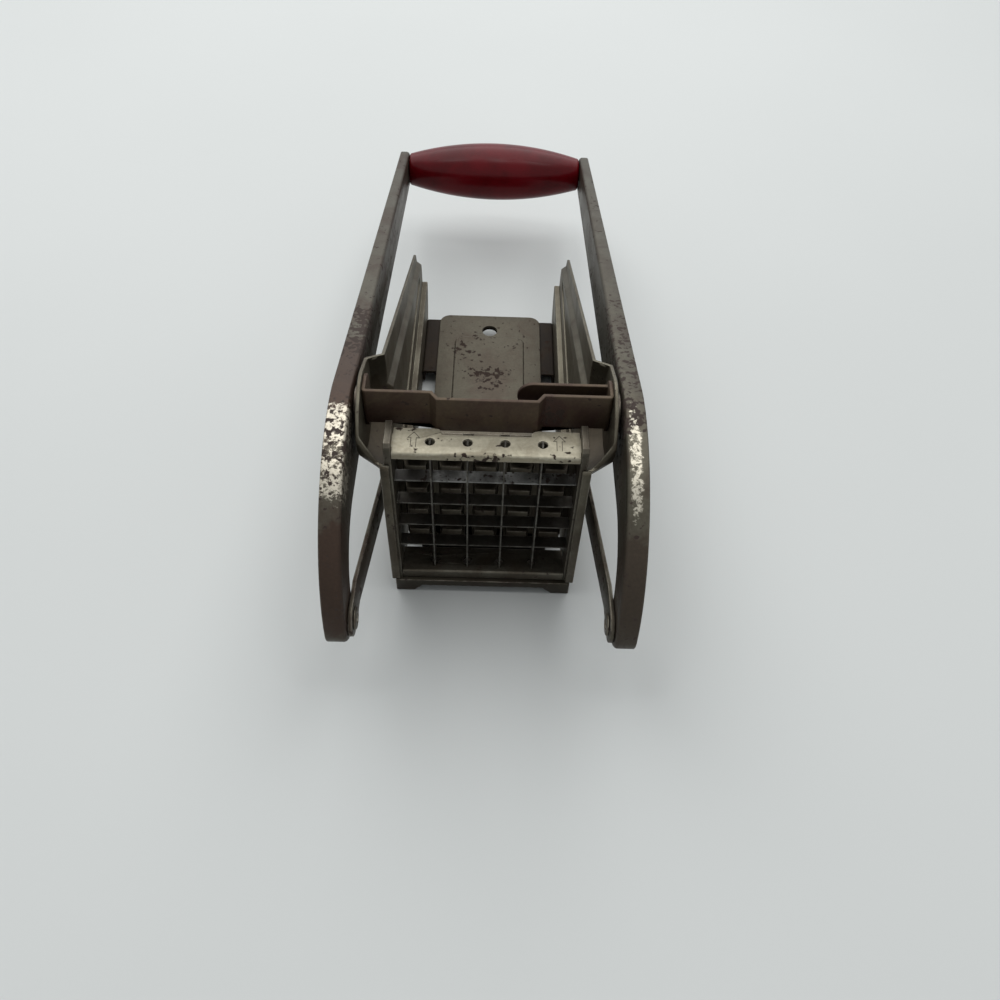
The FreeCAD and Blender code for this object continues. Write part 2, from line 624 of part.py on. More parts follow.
def pusher_head():
    """Return the pusher head: a plate with one stud for each cell and a short top flange."""
    half = WALL_IN_X - HEAD_SIDE_GAP
    head = box(-half, half, HEAD_PLATE_Y, CARRIAGE_Y, HEAD_BOTTOM_Z, HEAD_TOP_Z)
    uprights = [e for e in head.Edges if abs(e.tangentAt(e.FirstParameter).y) > 0.99]
    head = head.makeFillet(HEAD_CORNER_R, uprights)
    flange_top = HEAD_TOP_Z + HEAD_FLANGE_RISE
    flange = box(-HEAD_FLANGE_HALF, HEAD_FLANGE_HALF, HEAD_PLATE_Y, CARRIAGE_Y + HEAD_FLANGE, flange_top - SHEET,
                 flange_top)
    studs = [stud(x, GRID_MIDDLE_Z + z) for x in CELL_AT for z in CELL_AT]
    return head.fuse([flange] + studs).removeSplitter()


def wing_outline():
    """Return the YZ outline of a carriage wing, which narrows to a round end at the rod."""
    foot_z = SHELF_Z + SHELF_CLEARANCE
    return [
        (CARRIAGE_Y, foot_z),
        (ROD_AT[0] + WING_FOOT, foot_z),
        (point_on(ROD_AT, WING_END_R, -20), point_on(ROD_AT, WING_END_R, 55)),
        (CARRIAGE_Y, CARRIAGE_TOP_Z),
    ]


def pusher_carriage():
    """Return the sheet carriage: a web behind the head and two wings that run on the shelves."""
    out = CARRIAGE_OUT_X
    foot_z = SHELF_Z + SHELF_CLEARANCE
    body = box(-out, out, CARRIAGE_Y, CARRIAGE_Y + SHEET, foot_z, CARRIAGE_TOP_Z)
    window = box(-out / 2, out / 2, CARRIAGE_Y - PROUD, CARRIAGE_Y + SHEET + PROUD, foot_z + WINDOW_RIM,
                 CARRIAGE_TOP_Z - WINDOW_RIM)
    corners = [e for e in window.Edges if abs(e.tangentAt(e.FirstParameter).y) > 0.99]
    body = body.cut(window.makeFillet(WINDOW_CORNER_R, corners))
    for side in (-1, 1):
        x0, x1 = sorted((side * out, side * (out - SHEET)))
        wing = plate_x(wing_outline(), x0, x1)
        body = body.fuse(wing.cut(rod_x(ROD_R, x0 - PROUD, x1 + PROUD, ROD_AT)))
    body = body.removeSplitter()
    bends = [e for e in body.Edges if abs(abs(e.CenterOfMass.x) - out) < 0.01
             and abs(e.CenterOfMass.y - CARRIAGE_Y) < 0.01 and e.Length > 10]
    return body.makeFillet(BEND_R, bends)


def carriage_rivets():
    """Return the four rivets that hold the head to the carriage."""
    pieces = []
    for x in (-CARRIAGE_RIVET_X, CARRIAGE_RIVET_X):
        for z in (SHELF_Z + CARRIAGE_RIVET_INSET, CARRIAGE_TOP_Z - CARRIAGE_RIVET_INSET):
            y = CARRIAGE_Y + SHEET
            head = Part.makeCylinder(CARRIAGE_RIVET_HEAD_R, CARRIAGE_RIVET_HEAD, V(x, y, z), V(0, 1, 0))
            pieces.append(head)
    return Part.makeCompound(pieces)


def pusher_rod():
    """Return the cross rod that joins the carriage, through the slots, to both links."""
    rod = rod_x(ROD_R, -ROD_END_X, ROD_END_X, ROD_AT)
    return rod.makeChamfer(ROD_CHAMFER, [e for e in rod.Edges if abs(abs(e.CenterOfMass.x) - ROD_END_X) < 0.01])


def arm_outline():
    """Return the YZ outline of a lever arm: round tip, straight back, curved front and crook."""
    slope = math.atan(ARM_TOP_SLOPE)
    run = (math.cos(slope), math.sin(slope))
    up = (-run[1], run[0])
    drop = ARM_TIP_R - ARM_FRONT_R
    seat = (GRIP_AXIS[0] + drop * up[0] - CRANK_PIN[0], GRIP_AXIS[1] + drop * up[1] - CRANK_PIN[1])
    along = seat[0] * run[0] + seat[1] * run[1]
    spare = seat[0] ** 2 + seat[1] ** 2 - (ARM_FRONT_R - ARM_END_R) ** 2
    back = along - math.sqrt(along**2 - spare)
    centre = (seat[0] + CRANK_PIN[0] - back * run[0], seat[1] + CRANK_PIN[1] - back * run[1])
    top_front = (centre[0] + ARM_FRONT_R * up[0], centre[1] + ARM_FRONT_R * up[1])
    to_pin = math.degrees(math.atan2(CRANK_PIN[1] - centre[1], CRANK_PIN[0] - centre[0])) % 360
    up_turn = math.degrees(math.atan2(up[1], up[0]))
    toe = point_on(centre, ARM_FRONT_R, to_pin)
    heel = point_on(CRANK_PIN, ARM_END_R, 0)
    crook = (heel[0] + ARM_CROOK_R, heel[1])
    knee = (ARM_KNEE_Y, heel[1] + ARM_CROOK_R)
    to_grip = math.atan2(GRIP_AXIS[1] - knee[1], GRIP_AXIS[0] - knee[0])
    under = math.degrees(to_grip - math.asin(ARM_TIP_R / math.dist(knee, GRIP_AXIS)))
    tip_low = point_on(GRIP_AXIS, ARM_TIP_R, under - 90)
    tip_high = (GRIP_AXIS[0] + ARM_TIP_R * up[0], GRIP_AXIS[1] + ARM_TIP_R * up[1])
    return [
        top_front,
        (point_on(centre, ARM_FRONT_R, (up_turn + to_pin) / 2), toe),
        (point_on(CRANK_PIN, ARM_END_R, (to_pin + 360) / 2), heel),
        (point_on(crook, ARM_CROOK_R, 135), (crook[0], crook[1] + ARM_CROOK_R)),
        knee,
        tip_low,
        (point_on(GRIP_AXIS, ARM_TIP_R, 0), tip_high),
    ]


def lever_arm():
    """Return the right lever arm: a pressed tray whose rim is turned outwards all round."""
    rim_x = WEB_IN_X + ARM_RIM_FRONT
    outline = path_wire(arm_outline(), lambda y, z: V(WEB_IN_X, y, z))
    face = Part.Face(outline)
    arm = face.extrude(V(ARM_RIM_FRONT, 0, 0))
    arm = arm.makeChamfer(ARM_BEND, [e for e in arm.Edges if e.BoundBox.XMax < WEB_IN_X + 0.01])
    pocket = face.makeOffset2D(-ARM_SHEET)
    pocket.translate(V(ARM_SHEET, 0, 0))
    arm = arm.cut(pocket.extrude(V(ARM_RIM_FRONT, 0, 0)))
    slope_from = PIVOT[0]
    slope_to = GRIP_AXIS[0] + ARM_TIP_R
    wedge = plate_z([(rim_x, slope_from), (rim_x + PROUD, slope_from), (rim_x + PROUD, slope_to + PROUD),
                     (WEB_IN_X + ARM_RIM_REAR, slope_to + PROUD), (WEB_IN_X + ARM_RIM_REAR, slope_to)], -REACH, REACH)
    arm = arm.cut(wedge)
    arm = arm.cut(rod_x(PIVOT_R + RUNNING_GAP, WEB_IN_X - PROUD, WEB_OUT_X + PROUD, PIVOT))
    arm = arm.cut(rod_x(LINK_RIVET_R, WEB_IN_X - PROUD, WEB_OUT_X + PROUD, CRANK_PIN))
    return arm.cut(rod_x(GRIP_ROD_R, WEB_IN_X - PROUD, WEB_OUT_X + PROUD, GRIP_AXIS))


def grip_rod():
    """Return the steel rod through the grip, riveted over outside both arms."""
    end = WEB_OUT_X + RIVET_HEAD
    rod = rod_x(GRIP_ROD_R, -end, end, GRIP_AXIS)
    for side in (-1, 1):
        x0, x1 = sorted((side * WEB_OUT_X, side * end))
        head = rod_x(RIVET_HEAD_R, x0, x1, GRIP_AXIS)
        outside = [e for e in head.Edges if abs(abs(e.CenterOfMass.x) - end) < 0.01]
        rod = rod.fuse(head.makeChamfer(RIVET_HEAD * HEAD_BEVEL, outside))
    return rod.removeSplitter()


def grip():
    """Return the turned wooden grip, swelling from its ends to its middle."""
    half = WEB_IN_X - GRIP_END_GAP
    bore = GRIP_ROD_R + GRIP_BORE_GAP
    y, z = GRIP_AXIS
    steps = [
        (-half, bore),
        (half, bore),
        (half, GRIP_END_R - GRIP_EDGE),
    ]
    barrel = half - GRIP_EDGE
    bow = (barrel**2 + (GRIP_MIDDLE_R - GRIP_END_R) ** 2) / (2 * (GRIP_MIDDLE_R - GRIP_END_R))
    for i in range(GRIP_STATIONS + 1):
        x = barrel * (1 - 2 * i / GRIP_STATIONS)
        steps.append((x, GRIP_MIDDLE_R - bow + math.sqrt(bow**2 - x**2)))
    steps.append((-half, GRIP_END_R - GRIP_EDGE))
    wire = path_wire(steps, lambda x, r: V(x, y, z + r))
    return Part.Face(wire).revolve(V(0, y, z), X_AXIS, 360)


def link():
    """Return the right link: a flat bar, joggled inwards from the lever to the rod."""
    start, end = CRANK_PIN, ROD_AT
    length = math.dist(start, end)
    r = LINK_WIDTH / 2
    head_out, tail_out = LINK_OUT_X, LINK_TAIL_IN_X + LINK_SHEET
    outer = [(-r, head_out), (LINK_PAD, head_out), (length - LINK_PAD, tail_out), (length + r, tail_out)]
    inner = [(s, x - LINK_SHEET) for s, x in outer[::-1]]
    wire = path_wire(outer + inner, lambda s, x: V(x, s, -r))
    bar = Part.Face(wire).extrude(V(0, 0, LINK_WIDTH))
    bar = bar.common(stadium_x((0, 0), (length, 0), r, 0, head_out + PROUD))
    bar = bar.cut(rod_x(LINK_RIVET_R + RUNNING_GAP, 0, head_out + PROUD, (0, 0)))
    bar = bar.cut(rod_x(LINK_RIVET_R, 0, head_out + PROUD, (length, 0)))
    turn = math.degrees(math.atan2(end[1] - start[1], end[0] - start[0]))
    bar.rotate(V(0, 0, 0), X_AXIS, turn)
    bar.translate(V(0, start[0], start[1]))
    return bar


def crank_rivet():
    """Return the hollow rivet that holds a link to its arm, rolled over on the inside."""
    roll_x = LINK_OUT_X - LINK_SHEET - LINK_GAP
    rivet = rod_x(LINK_RIVET_R, roll_x, WEB_OUT_X, CRANK_PIN)
    rivet = rivet.fuse(rod_x(RIVET_HEAD_R, WEB_OUT_X, WEB_OUT_X + RIVET_HEAD, CRANK_PIN))
    rivet = rivet.fuse(rod_x(LINK_RIVET_ROLL_R, roll_x - LINK_RIVET_ROLL, roll_x, CRANK_PIN))
    edges = [e for e in rivet.Edges if e.CenterOfMass.x > WEB_OUT_X + RIVET_HEAD - 0.01
             or e.CenterOfMass.x < roll_x - LINK_RIVET_ROLL + 0.01]
    rivet = rivet.makeChamfer(LINK_RIVET_ROLL * HEAD_BEVEL, edges)
    return rivet.cut(rod_x(LINK_RIVET_BORE_R, roll_x - LINK_RIVET_ROLL - PROUD, WEB_OUT_X, CRANK_PIN))


def rod_rivet():
    """Return the rivet at the tail of a link, which lines up with the pusher rod."""
    out = LINK_TAIL_IN_X + LINK_SHEET
    shank = rod_x(LINK_RIVET_R, LINK_TAIL_IN_X, out, ROD_AT)
    head = rod_x(RIVET_HEAD_R, out, out + RIVET_HEAD, ROD_AT)
    head = head.makeChamfer(RIVET_HEAD * HEAD_BEVEL, [e for e in head.Edges if e.CenterOfMass.x > out + 0.5])
    return shank.fuse(head).removeSplitter()


def build():
    """Return every piece of the tool by its node name."""
    nodes = {
        "bottom_pan": bottom_pan(),
        "base_plate": base_plate(),
        "rear_bridge": rear_bridge(),
        "retaining_strap": retaining_strap(),
        "cartridge_cover": cartridge_cover(),
        "cartridge_floor": cartridge_floor(),
        "pusher_head": pusher_head(),
        "pusher_carriage": pusher_carriage(),
        "pusher_rivets": carriage_rivets(),
        "pusher_rod": pusher_rod(),
        "grip_rod": grip_rod(),
        "grip": grip(),
    }
    pairs = {
        "side_plate": side_plate,
        "pivot_rivet": pivot_rivet,
        "pivot_washer": pivot_washer,
        "cartridge_side": cartridge_side,
        "lever_arm": lever_arm,
        "link": link,
        "crank_rivet": crank_rivet,
        "rod_rivet": rod_rivet,
    }
    for name, make in pairs.items():
        right = make()
        nodes[name + "_right"] = right
        nodes[name + "_left"] = mirrored(right)
    for i, at in enumerate(BLADE_AT, 1):
        nodes[f"upright_blade_{i}"] = upright_blade(at)
        nodes[f"cross_blade_{i}"] = cross_blade(at)
    return nodes


def main():
    """Build the pieces, move them to the frame's origin and write one file for each."""
    nodes = build()
    whole = Part.makeCompound(list(nodes.values())).optimalBoundingBox()
    shift = V(0, -(whole.YMin + whole.YMax) / 2, 0)
    os.makedirs("parts", exist_ok=True)
    for name, shape in nodes.items():
        placed = shape.copy()
        placed.translate(shift)
        placed.exportStep(f"parts/{name}.step")


main()
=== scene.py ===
"""Looks of a hand-lever french fry cutter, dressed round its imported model.

Lengths are in metres, +Y runs from the cutting grid back to the grip, and +Z is up.
"""

from __future__ import annotations

import json
import logging
import math
from dataclasses import dataclass, field
from enum import Enum
from typing import Any, Callable, Sequence

import bmesh
import bpy
from mathutils import Matrix, Vector

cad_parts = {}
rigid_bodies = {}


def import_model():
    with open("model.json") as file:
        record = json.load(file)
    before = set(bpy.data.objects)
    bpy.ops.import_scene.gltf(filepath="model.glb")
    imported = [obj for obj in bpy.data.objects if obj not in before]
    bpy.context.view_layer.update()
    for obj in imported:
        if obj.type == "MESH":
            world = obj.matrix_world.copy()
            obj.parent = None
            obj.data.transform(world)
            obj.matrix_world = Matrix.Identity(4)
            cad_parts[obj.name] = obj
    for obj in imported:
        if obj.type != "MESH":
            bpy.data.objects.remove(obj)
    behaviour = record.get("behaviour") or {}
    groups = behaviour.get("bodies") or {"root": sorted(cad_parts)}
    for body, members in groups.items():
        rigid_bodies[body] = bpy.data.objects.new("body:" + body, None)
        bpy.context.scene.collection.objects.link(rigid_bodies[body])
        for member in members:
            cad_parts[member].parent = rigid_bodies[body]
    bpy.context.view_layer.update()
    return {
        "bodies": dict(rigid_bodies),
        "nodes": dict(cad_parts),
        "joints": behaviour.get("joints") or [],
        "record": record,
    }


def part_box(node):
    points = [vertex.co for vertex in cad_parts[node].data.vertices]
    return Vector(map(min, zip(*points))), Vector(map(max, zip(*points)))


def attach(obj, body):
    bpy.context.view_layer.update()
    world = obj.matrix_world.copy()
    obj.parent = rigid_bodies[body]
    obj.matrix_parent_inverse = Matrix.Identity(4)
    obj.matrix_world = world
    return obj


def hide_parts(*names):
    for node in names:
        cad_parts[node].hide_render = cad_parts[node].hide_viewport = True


LOG = logging.getLogger("fry_cutter")
MM = 0.001
Colour = tuple[float, float, float]
Point = tuple[float, float, float]

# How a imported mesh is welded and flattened, and from which angle its edges are eased
WELD = 0.004 * MM
FLAT_ANGLE = math.radians(0.4)
EASE_ANGLE = math.radians(28)


class Side(Enum):
    """The two sides of the tool, as the direction of each along X."""

    RIGHT = 1
    LEFT = -1

    def node(self, name: str) -> str:
        """Return the name of a paired node on this side."""
        return f"{name}_{self.name.lower()}"


@dataclass(frozen=True)
class Spot:
    """A soft round patch on a finish, such as a worn place, a stain, a painted highlight or a painted
    shade.

    Args:
        centre: middle of the patch, in the tool's frame.
        radii: reach of the patch along X, Y and Z.
        strength: value of the mask at the middle.
    """

    centre: Point
    radii: Point
    strength: float = 1.0


@dataclass(frozen=True)
class PlateFinish:
    """Old plated steel: a dull coat with tarnish, rust pits and places worn bright, with painted highlights
    and painted shade where a finish gives them.

    Args:
        name: name of the material.
        base: colour of the sound plate.
        tarnish: colour of the browned plate.
        bright: colour where the plate is rubbed, and of the painted highlights.
        rust: colour of pits and rust spots.
        mottle: how much of the plate has browned, 0 to 1.
        pits: how thick the rust pits lie, 0 to 1.
        edge_wear: how far the edges are rubbed bright, 0 to 1.
        roughness: roughness of the sound plate.
        metallic: metallic value of the sound plate.
        cloud: cloud noise scale, per metre.
        worn: patches drawn bright: rubbed places, and painted highlights where light glints.
        stained: patches that are browned or dark: stains, and painted shade where a finish gives it.
        pitted: patches where rust pits crowd.
    """

    name: str
    base: Colour
    tarnish: Colour
    bright: Colour = (0.46, 0.42, 0.36)
    rust: Colour = (0.024, 0.013, 0.008)
    mottle: float = 0.4
    pits: float = 0.3
    edge_wear: float = 0.5
    roughness: float = 0.46
    metallic: float = 0.85
    cloud: float = 70.0
    worn: tuple[Spot, ...] = ()
    stained: tuple[Spot, ...] = ()
    pitted: tuple[Spot, ...] = ()


@dataclass(frozen=True)
class PaintFinish:
    """Glossy paint on turned wood.

    Args:
        name: name of the material.
        colour: colour of the paint.
        deep: colour where the paint lies thick or is worn dull.
        roughness: roughness under the clear gloss.
        specular: specular level under the clear gloss.
        coat: weight of the clear gloss.
        coat_roughness: its roughness.
        coat_ior: its index of refraction.
    """

    name: str
    colour: Colour
    deep: Colour
    roughness: float = 0.32
    specular: float = 0.08
    coat: float = 0.3
    coat_roughness: float = 0.2
    coat_ior: float = 1.33


@dataclass(frozen=True)
class Ageing:
    """How the traces of age lie on plated steel, alike for every plate finish.

    Pairs are the values between which a trace fades in. Scales are per metre.

    Args:
        ragged_scale: scale of the noise that tears the border of a patch.
        ragged_reach: how far it tears that border.
        patch: share of its radius where a patch ends and where it is whole.
        fine_scale: scale of the fine unevenness.
        grain_scale: scale of the steel's grain.
        browned: cloud values between which the plate browns.
        browned_gain: how much mottle and stains add to the cloud.
        mottle_gain: share of the mottle that counts.
        shade: how far the fine unevenness shades the colour.
        rub_scale: scale of the rubbed places and the painted highlights.
        rubbed: noise values between which worn patches and painted highlights turn bright.
        rubbed_gain: how much a worn or highlight patch adds to that noise.
        rubbed_from: strengths of a patch between which it turns bright at all, as wear or as a painted
            highlight.
        edge_radius: reach of the wear along an edge.
        edge_turn: cosines of the surface's turn between which an edge wears.
        edge_scale: scale of the breaks in that wear.
        edge_breaks: noise values between which the wear breaks up.
        cluster_scale: scale of the clusters of pits.
        cluster_gain: how much a cluster adds to the pits.
        pit_scale: scale of the pits.
        crowd_gain: how much the finish's pits and pitted patches add.
        pitted: noise values between which a pit starts.
        rough: what clouds, bare steel and pits add to the roughness.
        dull: what pits and tarnish take from the metallic value.
        height: height of grain and fine unevenness, and depth of a pit.
    """

    ragged_scale: float = 190.0
    ragged_reach: float = 0.9
    patch: tuple[float, float] = (1.0, 0.45)
    fine_scale: float = 900.0
    grain_scale: float = 2600.0
    browned: tuple[float, float] = (0.52, 0.86)
    browned_gain: float = 0.42
    mottle_gain: float = 0.9
    shade: float = 0.75
    rub_scale: float = 560.0
    rubbed: tuple[float, float] = (0.57, 0.68)
    rubbed_gain: float = 0.17
    rubbed_from: tuple[float, float] = (0.0, 0.35)
    edge_radius: float = 0.7 * MM
    edge_turn: tuple[float, float] = (0.995, 0.86)
    edge_scale: float = 240.0
    edge_breaks: tuple[float, float] = (0.36, 0.6)
    cluster_scale: float = 95.0
    cluster_gain: float = 0.55
    pit_scale: float = 520.0
    crowd_gain: float = 0.2
    pitted: tuple[float, float] = (1.0, 1.08)
    rough: tuple[float, float, float] = (0.25, -0.1, 0.35)
    dull: tuple[float, float] = (0.8, 0.25)
    height: tuple[float, float, float] = (0.12, 0.25, 0.8)


class Graph:
    """A short way to write shader nodes into one node tree."""

    def __init__(self, tree: bpy.types.NodeTree) -> None:
        """Keep the tree that the nodes go into."""
        self.tree = tree

    def add(self, kind: str, **settings: Any) -> bpy.types.Node:
        """Add a node.

        Args:
            kind: the node's type.
            settings: its own settings.

        Returns:
            The new node.
        """
        node = self.tree.nodes.new(kind)
        for key, value in settings.items():
            setattr(node, key, value)
        return node

    def feed(self, socket: bpy.types.NodeSocket, value: Any) -> None:
        """Link a socket into another one, or set its constant."""
        if isinstance(value, bpy.types.NodeSocket):
            self.tree.links.new(value, socket)
        elif socket.type == "RGBA" and len(value) == 3:
            socket.default_value = (*value, 1.0)
        else:
            socket.default_value = value

    def math(self, operation: str, *values: Any, clamp: bool = False) -> bpy.types.NodeSocket:
        """Return the result of one arithmetic node."""
        node = self.add("ShaderNodeMath", operation=operation, use_clamp=clamp)
        for socket, value in zip(node.inputs, values):
            self.feed(socket, value)
        return node.outputs[0]

    def vector(self, operation: str, *values: Any, out: int = 0) -> bpy.types.NodeSocket:
        """Return the result of one vector node."""
        node = self.add("ShaderNodeVectorMath", operation=operation)
        for socket, value in zip(node.inputs, values):
            self.feed(socket, value)
        return node.outputs[out]

    def scaled(self, value: Any, factor: Any, clamp: bool = False) -> bpy.types.NodeSocket:
        """Return a value times a factor."""
        return self.math("MULTIPLY", value, factor, clamp=clamp)

    def centred(self, noise: Any, width: float) -> bpy.types.NodeSocket:
        """Return a noise value moved round 0 and scaled to a width."""
        return self.scaled(self.math("SUBTRACT", noise, 0.5), width)

    def step(self, value: Any, low: float, high: float, top: Any = 1.0,
             floor: Any = 0.0) -> bpy.types.NodeSocket:
        """Return a smooth step of a value, from floor at low to top at high."""
        node = self.add("ShaderNodeMapRange", interpolation_type="SMOOTHSTEP")
        for name, part in (("Value", value), ("From Min", low), ("From Max", high),
                           ("To Min", floor), ("To Max", top)):
            self.feed(node.inputs[name], part)
        return node.outputs["Result"]

    def blend(self, factor: Any, first: Any, second: Any) -> bpy.types.NodeSocket:
        """Return a mix of two colours."""
        node = self.add("ShaderNodeMix", data_type="RGBA")
        self.feed(node.inputs[0], factor)
        self.feed(node.inputs[6], first)
        self.feed(node.inputs[7], second)
        return node.outputs[2]

    def noise(self, vector: Any, scale: float, detail: float = 4.0, rough: float = 0.55,
              bend: float = 0.0) -> bpy.types.NodeSocket:
        """Return the value of a noise texture."""
        node = self.add("ShaderNodeTexNoise")
        self.feed(node.inputs["Vector"], vector)
        for name, value in (("Scale", scale), ("Detail", detail), ("Roughness", rough),
                            ("Distortion", bend)):
            self.feed(node.inputs[name], value)
        return node.outputs["Fac"]

    def bump(self, shader: bpy.types.Node, height: Any, strength: float, distance: float) -> None:
        """Turn a height into the normal of a shader.

        Args:
            shader: the shader.
            height: socket with the height.
            strength: strength of the bump.
            distance: its depth.
        """
        node = self.add("ShaderNodeBump")
        self.feed(node.inputs["Strength"], strength)
        self.feed(node.inputs["Distance"], distance)
        self.feed(node.inputs["Height"], height)
        self.feed(shader.inputs["Normal"], node.outputs["Normal"])


class GroupShop:
    """Builds each shared shader node group once and hands it out by name."""

    def __init__(self) -> None:
        """Start with no groups."""
        self._made: dict[str, bpy.types.NodeTree] = {}
        self.age = Ageing()

    def get(self, name: str, inputs: Sequence[tuple[str, str, Any]], outputs: Sequence[tuple[str, str]],
            fill: Callable[[Graph, dict[str, Any], dict[str, Any]], None]) -> bpy.types.NodeTree:
        """Return a node group, made on first use.

        Args:
            name: name of the group.
            inputs: name, socket type and default of each input.
            outputs: name and socket type of each output.
            fill: writes the nodes between the two.

        Returns:
            The node group.
        """
        if name in self._made:
            return self._made[name]
        tree = bpy.data.node_groups.new(name, "ShaderNodeTree")
        for label, kind, default in inputs:
            socket = tree.interface.new_socket(label, in_out="INPUT", socket_type=kind)
            if default is not None:
                socket.default_value = (*default, 1.0) if kind == "NodeSocketColor" else default
        for label, kind in outputs:
            tree.interface.new_socket(label, in_out="OUTPUT", socket_type=kind)
        graph = Graph(tree)
        source = graph.add("NodeGroupInput").outputs
        sink = graph.add("NodeGroupOutput").inputs
        fill(graph, {s.name: s for s in source if s.name}, {s.name: s for s in sink if s.name})
        self._made[name] = tree
        return tree

    def spot(self) -> bpy.types.NodeTree:
        """Return the group that masks a soft patch with a ragged border."""
        inputs = [("Vector", "NodeSocketVector", None), ("Centre", "NodeSocketVector", (0, 0, 0)),
                  ("Radii", "NodeSocketVector", (0.01, 0.01, 0.01)), ("Strength", "NodeSocketFloat", 1.0)]
        return self.get("soft_patch", inputs, [("Mask", "NodeSocketFloat")], self._fill_spot)

    def _fill_spot(self, graph: Graph, source: dict[str, Any], sink: dict[str, Any]) -> None:
        """Write the nodes of the soft patch."""
        age = self.age
        away = graph.vector("SUBTRACT", source["Vector"], source["Centre"])
        reach = graph.vector("LENGTH", graph.vector("DIVIDE", away, source["Radii"]), out=1)
        ragged = graph.noise(source["Vector"], age.ragged_scale, detail=5.0, rough=0.65)
        reach = graph.math("ADD", reach, graph.centred(ragged, age.ragged_reach))
        border, whole = age.patch
        mask = graph.step(reach, whole, border, top=0.0, floor=1.0)
        graph.feed(sink["Mask"], graph.scaled(mask, source["Strength"]))

    def plate(self) -> bpy.types.NodeTree:
        """Return the group that ages a plated steel surface."""
        inputs = [("Vector", "NodeSocketVector", None), ("Base", "NodeSocketColor", (0.2, 0.2, 0.2)),
                  ("Tarnish", "NodeSocketColor", (0.1, 0.08, 0.05)),
                  ("Bright", "NodeSocketColor", (0.5, 0.5, 0.45)),
                  ("Rust", "NodeSocketColor", (0.03, 0.02, 0.01)), ("Mottle", "NodeSocketFloat", 0.4),
                  ("Pits", "NodeSocketFloat", 0.3), ("Edge Wear", "NodeSocketFloat", 0.5),
                  ("Roughness", "NodeSocketFloat", 0.45), ("Metallic", "NodeSocketFloat", 0.85),
                  ("Cloud", "NodeSocketFloat", 70.0), ("Worn", "NodeSocketFloat", 0.0),
                  ("Stained", "NodeSocketFloat", 0.0), ("Pitted", "NodeSocketFloat", 0.0)]
        outputs = [("Colour", "NodeSocketColor"), ("Roughness", "NodeSocketFloat"),
                   ("Metallic", "NodeSocketFloat"), ("Height", "NodeSocketFloat")]
        return self.get("aged_plate", inputs, outputs, self._fill_plate)

    def _fill_plate(self, graph: Graph, source: dict[str, Any], sink: dict[str, Any]) -> None:
        """Write the nodes of the aged plate."""
        age = self.age
        place = source["Vector"]
        cloud = graph.noise(place, source["Cloud"], detail=7.0, rough=0.62, bend=0.6)
        fine = graph.noise(place, age.fine_scale, detail=6.0, rough=0.7)
        grain = graph.noise(place, age.grain_scale, detail=2.0, rough=0.6)
        browned = graph.math("ADD", graph.scaled(source["Mottle"], age.mottle_gain), source["Stained"])
        browned = graph.math("ADD", cloud, graph.scaled(browned, age.browned_gain))
        tarnished = graph.step(browned, *age.browned)
        colour = graph.blend(tarnished, source["Base"], source["Tarnish"])
        shaded = graph.vector("SCALE", colour)
        graph.feed(shaded.node.inputs["Scale"], graph.math("ADD", graph.centred(fine, age.shade), 1.0))
        # bare holds the rubbed steel and also the painted highlights that come in as worn patches.
        bare = graph.math("MAXIMUM", self._wear_and_highlight(graph, source), self._edge(graph, source))
        colour = graph.blend(bare, shaded, source["Bright"])
        pitted = self._pitted(graph, source)
        colour = graph.blend(pitted, colour, source["Rust"])
        by_cloud, by_rub, by_pit = age.rough
        rough = graph.math("ADD", source["Roughness"], graph.centred(cloud, by_cloud))
        rough = graph.math("ADD", rough, graph.scaled(bare, by_rub))
        rough = graph.math("ADD", rough, graph.scaled(pitted, by_pit), clamp=True)
        metal = source["Metallic"]
        for trace, loss in zip((pitted, tarnished), age.dull):
            metal = graph.scaled(metal, graph.math("SUBTRACT", 1.0, graph.scaled(trace, loss)))
        by_grain, by_fine, by_pit = age.height
        height = graph.math("ADD", graph.scaled(grain, by_grain), graph.scaled(fine, by_fine))
        height = graph.math("SUBTRACT", height, graph.scaled(pitted, by_pit))
        for name, value in (("Colour", colour), ("Roughness", rough), ("Metallic", metal),
                            ("Height", height)):
            graph.feed(sink[name], value)

    def _wear_and_highlight(self, graph: Graph, source: dict[str, Any]) -> bpy.types.NodeSocket:
        """Return the mask of the worn patches and the painted highlights."""
        age = self.age
        rub = graph.noise(source["Vector"], age.rub_scale, detail=6.0, rough=0.78, bend=0.4)
        rub = graph.math("ADD", rub, graph.scaled(source["Worn"], age.rubbed_gain))
        return graph.scaled(graph.step(rub, *age.rubbed), graph.step(source["Worn"], *age.rubbed_from),
                            clamp=True)

    def _edge(self, graph: Graph, source: dict[str, Any]) -> bpy.types.NodeSocket:
        """Return the mask of the wear along edges, which a softened normal finds."""
        age = self.age
        normal = graph.add("ShaderNodeNewGeometry").outputs["Normal"]
        soft = graph.add("ShaderNodeBevel", samples=4)
        graph.feed(soft.inputs["Radius"], age.edge_radius)
        edge = graph.step(graph.vector("DOT_PRODUCT", soft.outputs[0], normal, out=1), *age.edge_turn)
        breaks = graph.noise(source["Vector"], age.edge_scale, detail=6.0, rough=0.7)
        edge = graph.scaled(edge, graph.step(breaks, *age.edge_breaks))
        return graph.scaled(edge, source["Edge Wear"], clamp=True)

    def _pitted(self, graph: Graph, source: dict[str, Any]) -> bpy.types.NodeSocket:
        """Return the mask of the rust pits."""
        age = self.age
        cluster = graph.noise(source["Vector"], age.cluster_scale, detail=4.0, rough=0.6)
        pit = graph.noise(source["Vector"], age.pit_scale, detail=2.0, rough=0.5)
        crowd = graph.math("ADD", source["Pits"], source["Pitted"])
        depth = graph.math("ADD", graph.scaled(cluster, age.cluster_gain), pit)
        depth = graph.math("ADD", depth, graph.scaled(crowd, age.crowd_gain))
        return graph.step(depth, *age.pitted)


